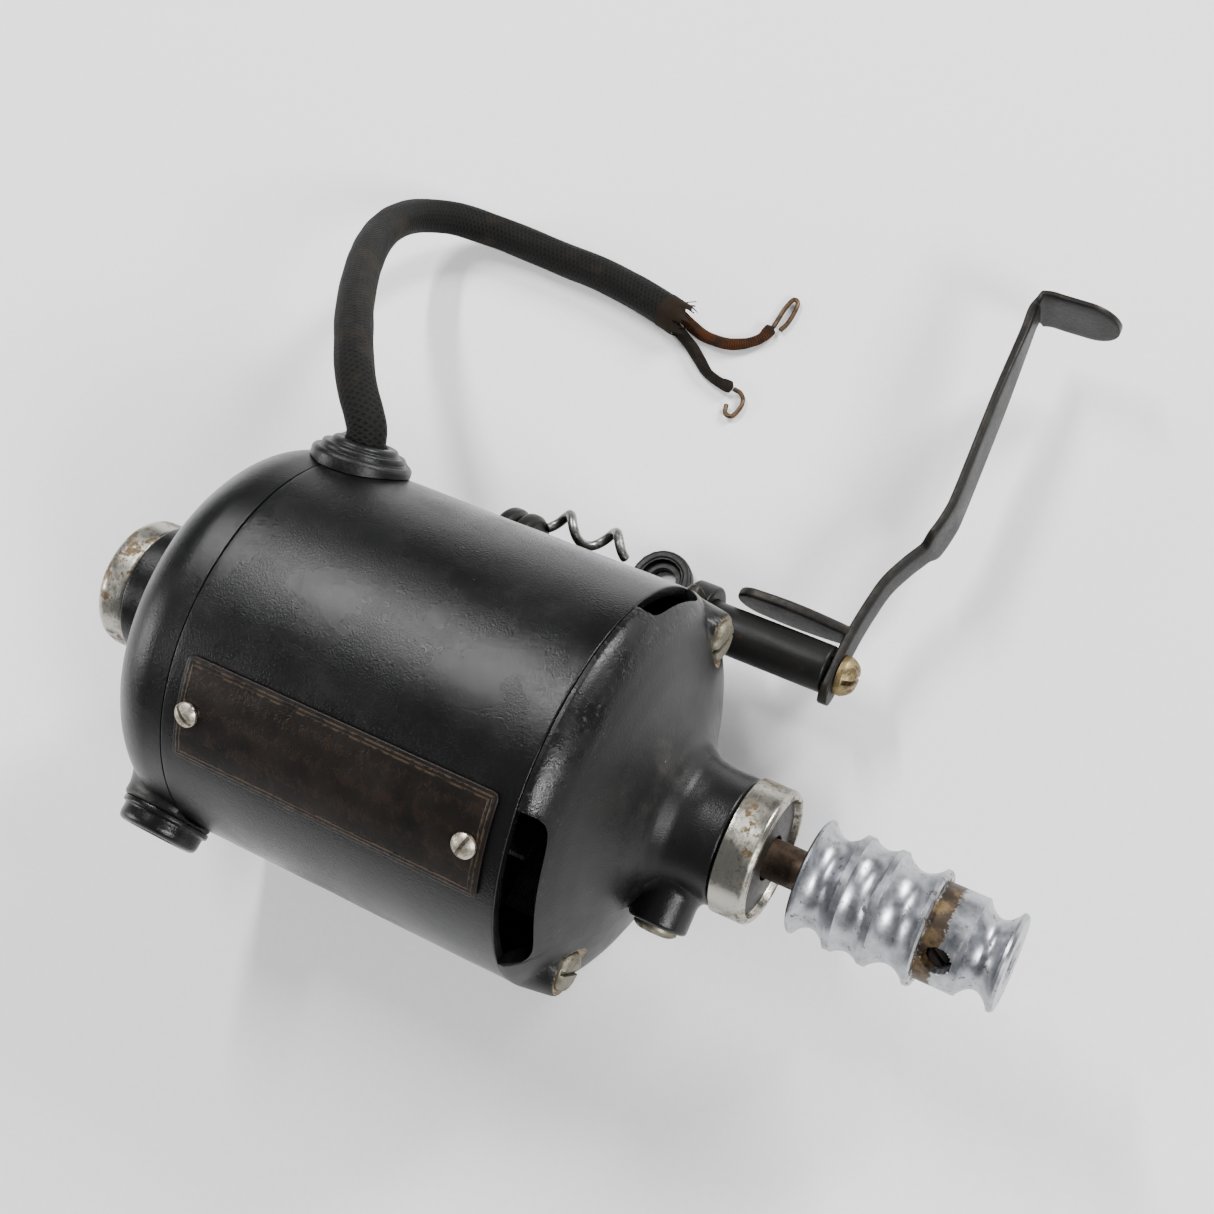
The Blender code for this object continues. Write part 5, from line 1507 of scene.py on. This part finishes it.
@dataclass
class Mounting:
    """The lugs of the base, the bracket that carries the rod, its stop and the spring."""

    lugs: Tuple[Tuple[str, float, float], ...] = (("back", 12.6, 56.8), ("front", -14.0, -30.6))
    lug_line: Outline = (
        (3.2, 0.1), (6.6, 0.1), (7.2, 0.5), (7.2, 3.6), (6.7, 4.25), (5.4, 4.3), (4.85, 3.9), (4.75, 2.75),
        (3.2, 2.6),
    )
    tube: Triple = (5.3, 13.0, 61.4)
    web: Tuple[float, float, float, float, float, float] = (13.5, 25.5, 42.5, 51.0, 5.0, 18.7)
    foot: Tuple[float, float, float, float, float, float] = (12.7, 26.3, 28.0, 51.6, 4.3, 6.8)
    foot_screw: Pair = (19.5, 34.0)
    fin: Outline = (
        (23.6, 5.0), (32.6, 5.0), (32.6, 8.4), (31.4, 11.8), (30.2, 12.3), (29.0, 11.7), (27.4, 9.4),
        (25.2, 8.2), (23.6, 7.9),
    )
    fin_turn: float = 10.0
    coil_x: Triple = (-12.2, 9.3, -7.3)
    coil_middle: Pair = (55.3, 20.2)
    coil: Triple = (2.6, 12.0, 1.1)

    def build(self) -> None:
        """From the floor up."""
        for side, x, y in self.lugs:
            seat = Seat((x, y, 0.0), VERTICAL, ALONG_X)
            line = rounded(self.lug_line, 0.5, 0.8)
            ring = turned(f"{side}_lug", line, seat, 96, ring=True, ripple=uneven(16, 0.16))
            settle(ring, Look.STEEL)
        self.bracket()
        self.stop()
        self.spring()

    def bracket(self) -> None:
        """The tube round the rod, the web under it and the foot with its screw."""
        radius, start, stop = self.tube
        corners = ((3.05, start), (radius, start), (radius, stop), (3.05, stop))
        line = rounded(corners, 0.6, 1.5)
        tube = turned("rod_tube", line, ROD_SEAT, 96, ring=True, ripple=uneven(18, 0.05))
        settle(tube, Look.TUBE, nodes=("pivot_bracket",))
        x0, x1, y0, y1, z0, z1 = self.web
        outline = rounded(((x0, z0), (x1, z0), (x1, z1), (x0, z1)), 1.2, 1.5, loop=True)
        web = slab("bracket_web", outline, y0, y1, 1.0, lambda flat: flat[..., (0, 2, 1)])
        settle(web, Look.STEEL)
        x0, x1, y0, y1, z0, z1 = self.foot
        outline = rounded(((x0, y0), (x1, y0), (x1, y1), (x0, y1)), 2.4, 1.5, loop=True)
        foot = slab("bracket_foot", outline, z0, z1, 0.6, lambda flat: flat)
        settle(foot, Look.STEEL)
        seat = Seat((*self.foot_screw, 0.0), VERTICAL, ALONG_X)
        screw = slotted("foot_screw", seat, 3.5, 6.9, 2.6, 0.5, 30, 0.3)
        settle(screw, Look.BOLT, nodes=("bracket_screw",))

    def stop(self) -> None:
        """The horn-shaped stop: a ring on the tube with a fin turned back from the lever."""
        corners = ((5.35, 27.5), (8.2, 27.5), (8.2, 33.0), (5.35, 33.0))
        ring = turned("stop_ring", rounded(corners, 0.8, 1.0), ROD_SEAT, 96, ring=True)
        settle(ring, Look.LEVER, nodes=("stop_horn",))
        outline = rounded(self.fin, 0.7, 0.6, loop=True)
        lean = math.radians(self.fin_turn)

        def lean_back(flat: Array) -> Array:
            """Distance from the rod and thickness, turned about the rod."""
            out, thick = flat[..., 1], flat[..., 2]
            y = out * math.sin(lean) + thick * math.cos(lean)
            z = out * math.cos(lean) - thick * math.sin(lean)
            return np.stack([flat[..., 0], ROD[0] + y, ROD[1] + z], axis=-1)

        settle(slab("stop_fin", outline, -1.6, 1.6, 0.8, lean_back), Look.LEVER)

    def spring(self) -> None:
        """A thick open coil: the wire goes round once in each pitch along X."""
        start, stop, peak = self.coil_x
        y, z = self.coil_middle
        swing, pitch, girth = self.coil
        x = np.linspace(start, stop, 141)
        turn = TURN * (x - peak) / pitch + math.radians(24)
        path = np.stack([x, y + swing * np.cos(turn), z + swing * np.sin(turn)], axis=1)
        piece = wire("open_coil", path, girth, 24, ripple=uneven(23, 0.03))
        settle(piece, Look.SPRING, nodes=("return_spring",))


@dataclass
class Lever:
    """The bent strap with its thumb pad and tongue, and what turns with it."""

    rise: float = 2.0
    thickness: float = 2.2
    half: float = 4.0
    strap: Outline = (
        (62.9, -7.4), (62.9, -2.0), (62.9, 4.0), (63.2, 10.0), (63.9, 16.0), (65.0, 22.0), (67.3, 27.6),
        (70.3, 33.6), (71.6, 40.0), (71.7, 46.0), (70.8, 64.7), (69.8, 86.0), (69.4, 92.4), (70.1, 94.7),
        (72.4, 95.55), (76.0, 95.55), (82.0, 95.55), (88.4, 95.55),
    )
    pad: Triple = (7.2, 69.5, 70.7)
    tongue: Triple = (36.5, 63.6, 5.2)
    tongue_reach: Pair = (7.4, 9.6)
    collars: Tuple[Tuple[str, float, float, int], ...] = (
        ("rod_collar", -16.5, -12.3, 51), ("rod_lock_collar", -21.0, -16.8, 52),
    )

    def build(self) -> None:
        """Everything here rides on the lever."""
        settle(self.bent_strap(), Look.LEVER, Body.LEVER, ("lever_strap",))
        tip, root, half = self.tongue
        swell = np.linspace(0, 1, 15)
        bulge = half * (0.72 + 0.48 * np.sin(swell * 2.35))
        upper = np.stack([root - (root - tip - half) * swell, bulge], axis=1)
        end = upper[-1, 1]
        round_tip = arc(end, 90, 270, 18, (upper[-1, 0], 0.0))[1:-1]
        outline = np.vstack([upper, round_tip, (upper * (1, -1))[::-1]])

        def place(flat: Array) -> Array:
            """The tongue lies along the rod, its thickness running out from it."""
            return self.lay(flat[..., 0], flat[..., 2], flat[..., 1])

        shape = slab("strap_tongue", outline, *self.tongue_reach, 0.6, place)
        settle(shape, Look.LEVER, Body.LEVER)
        rod = filled_in(softened(((0, -21.5), (3.0, -21.5), (3.0, 64.0), (0, 64.0)), 0.5), 1.5)
        settle(turned("rod", rod, ROD_SEAT, 48), Look.STEEL, Body.LEVER, ("lever_rod",))
        screw = slotted("strap_screw", ROD_SEAT, 4.4, 64.1, 3.6, 0.6, 52, 0.4)
        settle(screw, Look.BRASS, Body.LEVER, ("lever_screw",))
        for name, start, stop, seed in self.collars:
            quarter = (stop - start) / 4
            middle = ((8.5, start + quarter), (8.6, start + 2 * quarter), (8.5, stop - quarter))
            corners = ((3.1, start), (7.5, start), *middle, (7.5, stop), (3.1, stop))
            line = rounded(corners, 0.5, 0.8)
            collar = turned(f"{name}_ring", line, ROD_SEAT, 96, ring=True, ripple=uneven(seed, 0.10))
            settle(collar, Look.STEEL, Body.LEVER, (name,))

    def lay(self, x: Array, reach: Array, side: Array) -> Array:
        """A place on the lever: reach runs out from the rod at the rise, side stands square to it."""
        tilt = math.radians(self.rise)
        y = ROD[0] + reach * math.cos(tilt) - side * math.sin(tilt)
        z = ROD[1] + reach * math.sin(tilt) + side * math.cos(tilt)
        return np.stack([x, y, z], axis=-1)

    def bent_strap(self) -> bpy.types.Object:
        """One flat bar carried along the bent line.

        Its section is the rounded oblong |side / w|^8 + |through / t|^4 = 1.  The half width w
        grows from the strap's to the pad's, and falls as a half circle at both ends.
        """
        path = through(self.strap, 10)
        length = np.concatenate([[0], np.cumsum(np.linalg.norm(np.diff(path, axis=0), axis=1))])
        wide, throat, shoulder = self.pad
        near = self.half * (1 - np.cos(np.linspace(0, math.pi / 2, 14)))
        far = length[-1] - wide * (1 - np.cos(np.linspace(0, math.pi / 2, 22)))
        stops = np.unique(np.concatenate([length, near, far]))
        path = np.stack([np.interp(stops, length, path[:, k]) for k in range(2)], axis=1)
        neck, pad = smooth(path[:, 1], 86, 92), smooth(path[:, 0], throat, shoulder)
        half = self.half + 0.3 * neck + (wide - 4.3) * pad
        from_start = np.clip(stops / self.half, 0, 1)
        from_end = np.clip((stops[-1] - stops) / wide, 0, 1)
        half = half * np.sqrt(1 - (1 - from_start) ** 2) * np.sqrt(1 - (1 - from_end) ** 2)
        heading = np.gradient(path, axis=0)
        heading /= np.linalg.norm(heading, axis=1, keepdims=True)
        across = np.stack([heading[:, 1], -heading[:, 0]], axis=1)
        turn = np.arange(56) / 56 * TURN
        edge = np.sign(np.sin(turn)) * np.abs(np.sin(turn)) ** 0.25
        deep = np.sign(np.cos(turn)) * np.abs(np.cos(turn)) ** 0.5
        thick = self.thickness / 2 * (1 - 0.22 * smooth(path[:, 1], 93, 95.5)) * np.minimum(1, half / 0.6)
        x = path[:, :1] + across[:, :1] * thick[:, None] * deep
        reach = path[:, 1:] + across[:, 1:] * thick[:, None] * deep
        side = half[:, None] * edge
        rim = np.repeat(smooth(np.abs(edge), 0.90, 1.0)[None, :], len(path), axis=0)
        chart = np.stack(np.meshgrid(np.append(turn / TURN, 1.0), stops), axis=-1)
        points = self.lay(x, reach, side)
        return surface("bent_strap", points, chart=chart, masks={"rim": rim}, crease=50.0)


LOOK_OF_SLOT: Dict[str, Look] = {
    "japan_black": Look.BODY, "nickel": Look.NICKEL, "bronze": Look.BRONZE, "felt": Look.FELT,
    "fibre": Look.FIBRE, "blackened_steel": Look.STEEL, "lamination": Look.IRON,
    "enamelled_wire": Look.WINDING, "moulded_black": Look.HOLDER, "brass": Look.BRASS,
    "carbon": Look.CARBON, "rusty_steel": Look.SHAFT, "copper": Look.COPPER,
}


class Inside:
    """The CAD nodes that keep their meshes, each in a finish of its own."""

    def build(self) -> None:
        """Dresses each node that still shows."""
        for name, node in frame["nodes"].items():
            if node.hide_render:
                continue
            look = LOOK_OF_SLOT[SLOT_OF[name]]
            for place in node.material_slots:
                place.material = look.value.material()
            log.info("%s keeps its mesh: %s", name, look.value.name)


# ------------------------------------------------------------------ studio
@dataclass(frozen=True)
class Lamp:
    """A soft rectangular light, placed by its direction from the motor."""

    name: str
    direction: Triple
    distance: float
    size: Pair
    power: float
    long_axis: Triple = VERTICAL

    def build(self, middle: Array) -> None:
        """Local X runs along the long axis, and local -Z points at the motor."""
        lamp = bpy.data.lights.new(self.name, "AREA")
        lamp.shape = "RECTANGLE"
        lamp.size, lamp.size_y = self.size
        lamp.energy = self.power
        back = np.array(self.direction) / np.linalg.norm(self.direction)
        along = np.array(self.long_axis) - np.dot(self.long_axis, back) * back
        along /= np.linalg.norm(along)
        made = bpy.data.objects.new(self.name, lamp)
        made.matrix_world = pose_matrix(along, np.cross(back, along), back, middle + back * self.distance)
        bpy.context.scene.collection.objects.link(made)


def pose_matrix(right: Array, up: Array, back: Array, place: Array) -> Matrix:
    """A placing matrix from three axes and a point."""
    table = np.eye(4)
    table[:3, 0], table[:3, 1], table[:3, 2], table[:3, 3] = right, up, back, place
    return Matrix(table.tolist())


@dataclass
class Studio:
    """The floor, the lights and the camera."""

    target: Triple = (20.6, 33.8, 46.0)
    camera: Triple = (146.9, -56.57, 366.85)
    roll: float = -29.73
    lens: float = 51.75
    sensor: float = 36.0
    floor_half: float = 1500.0
    floor_drop: float = 0.05
    lamps: Tuple[Lamp, ...] = (
        Lamp("strip", (-0.43, 0.32, 0.84), 0.9, (0.42, 0.045), 8.0, (0.12, -0.35, 0.19)),
        Lamp("right_fill", (0.80, -0.35, 0.62), 1.6, (0.35, 0.35), 26.0),
        Lamp("back_fill", (0.55, 0.95, 0.75), 1.5, (0.6, 0.3), 30.0),
        Lamp("left_fill", (-0.95, -0.45, 0.42), 1.5, (0.4, 0.4), 12.0),
    )

    def build(self) -> None:
        """Lights the middle of the CAD box."""
        middle = np.mean(np.array(CAD_BOX), axis=0)
        for lamp in self.lamps:
            lamp.build(middle)
        self.sky()
        self.floor()
        self.view()

    def sky(self) -> None:
        """An even pale surround."""
        world = bpy.data.worlds.new("surround")
        world.use_nodes = True
        backdrop = world.node_tree.nodes["Background"]
        backdrop.inputs["Color"].default_value = (0.97, 0.98, 1.0, 1.0)
        backdrop.inputs["Strength"].default_value = 0.3
        bpy.context.scene.world = world

    def floor(self) -> None:
        """A plain sheet just under the feet."""
        edge = self.floor_half
        row = np.array([(-edge, -edge), (edge, -edge), (edge, edge), (-edge, edge)])
        points = np.concatenate([row, np.full((4, 1), -self.floor_drop)], axis=1) * MM
        mesh = bpy.data.meshes.new("floor")
        mesh.from_pydata(points, [], [(0, 1, 2, 3)])
        sheet = bpy.data.objects.new("floor", mesh)
        mesh.materials.append(Look.FLOOR.value.material())
        bpy.context.scene.collection.objects.link(sheet)

    def view(self) -> None:
        """The camera looks at its target, turned about its line of sight by the roll."""
        place, target = np.array(self.camera) * MM, np.array(self.target) * MM
        ahead = (target - place) / np.linalg.norm(target - place)
        level = np.cross(ahead, VERTICAL)
        level /= np.linalg.norm(level)
        upright = np.cross(level, ahead)
        turn = math.radians(self.roll)
        right = math.cos(turn) * level + math.sin(turn) * upright
        data = bpy.data.cameras.new("camera")
        data.lens, data.sensor_width = self.lens, self.sensor
        data.clip_start, data.clip_end = 0.01, 20.0
        made = bpy.data.objects.new("camera", data)
        made.matrix_world = pose_matrix(right, np.cross(right, ahead), -ahead, place)
        bpy.context.scene.collection.objects.link(made)
        bpy.context.scene.camera = made


def main() -> None:
    """Builds every sub-assembly, then the studio."""
    logging.basicConfig(level=logging.INFO, format="%(name)s: %(message)s")
    for part in (Cord(), Housing(), BrushGear(), Drive(), Mounting(), Lever(), Inside(), Studio()):
        log.info("building %s", type(part).__name__)
        part.build()


if __name__ == "__main__":
    main()
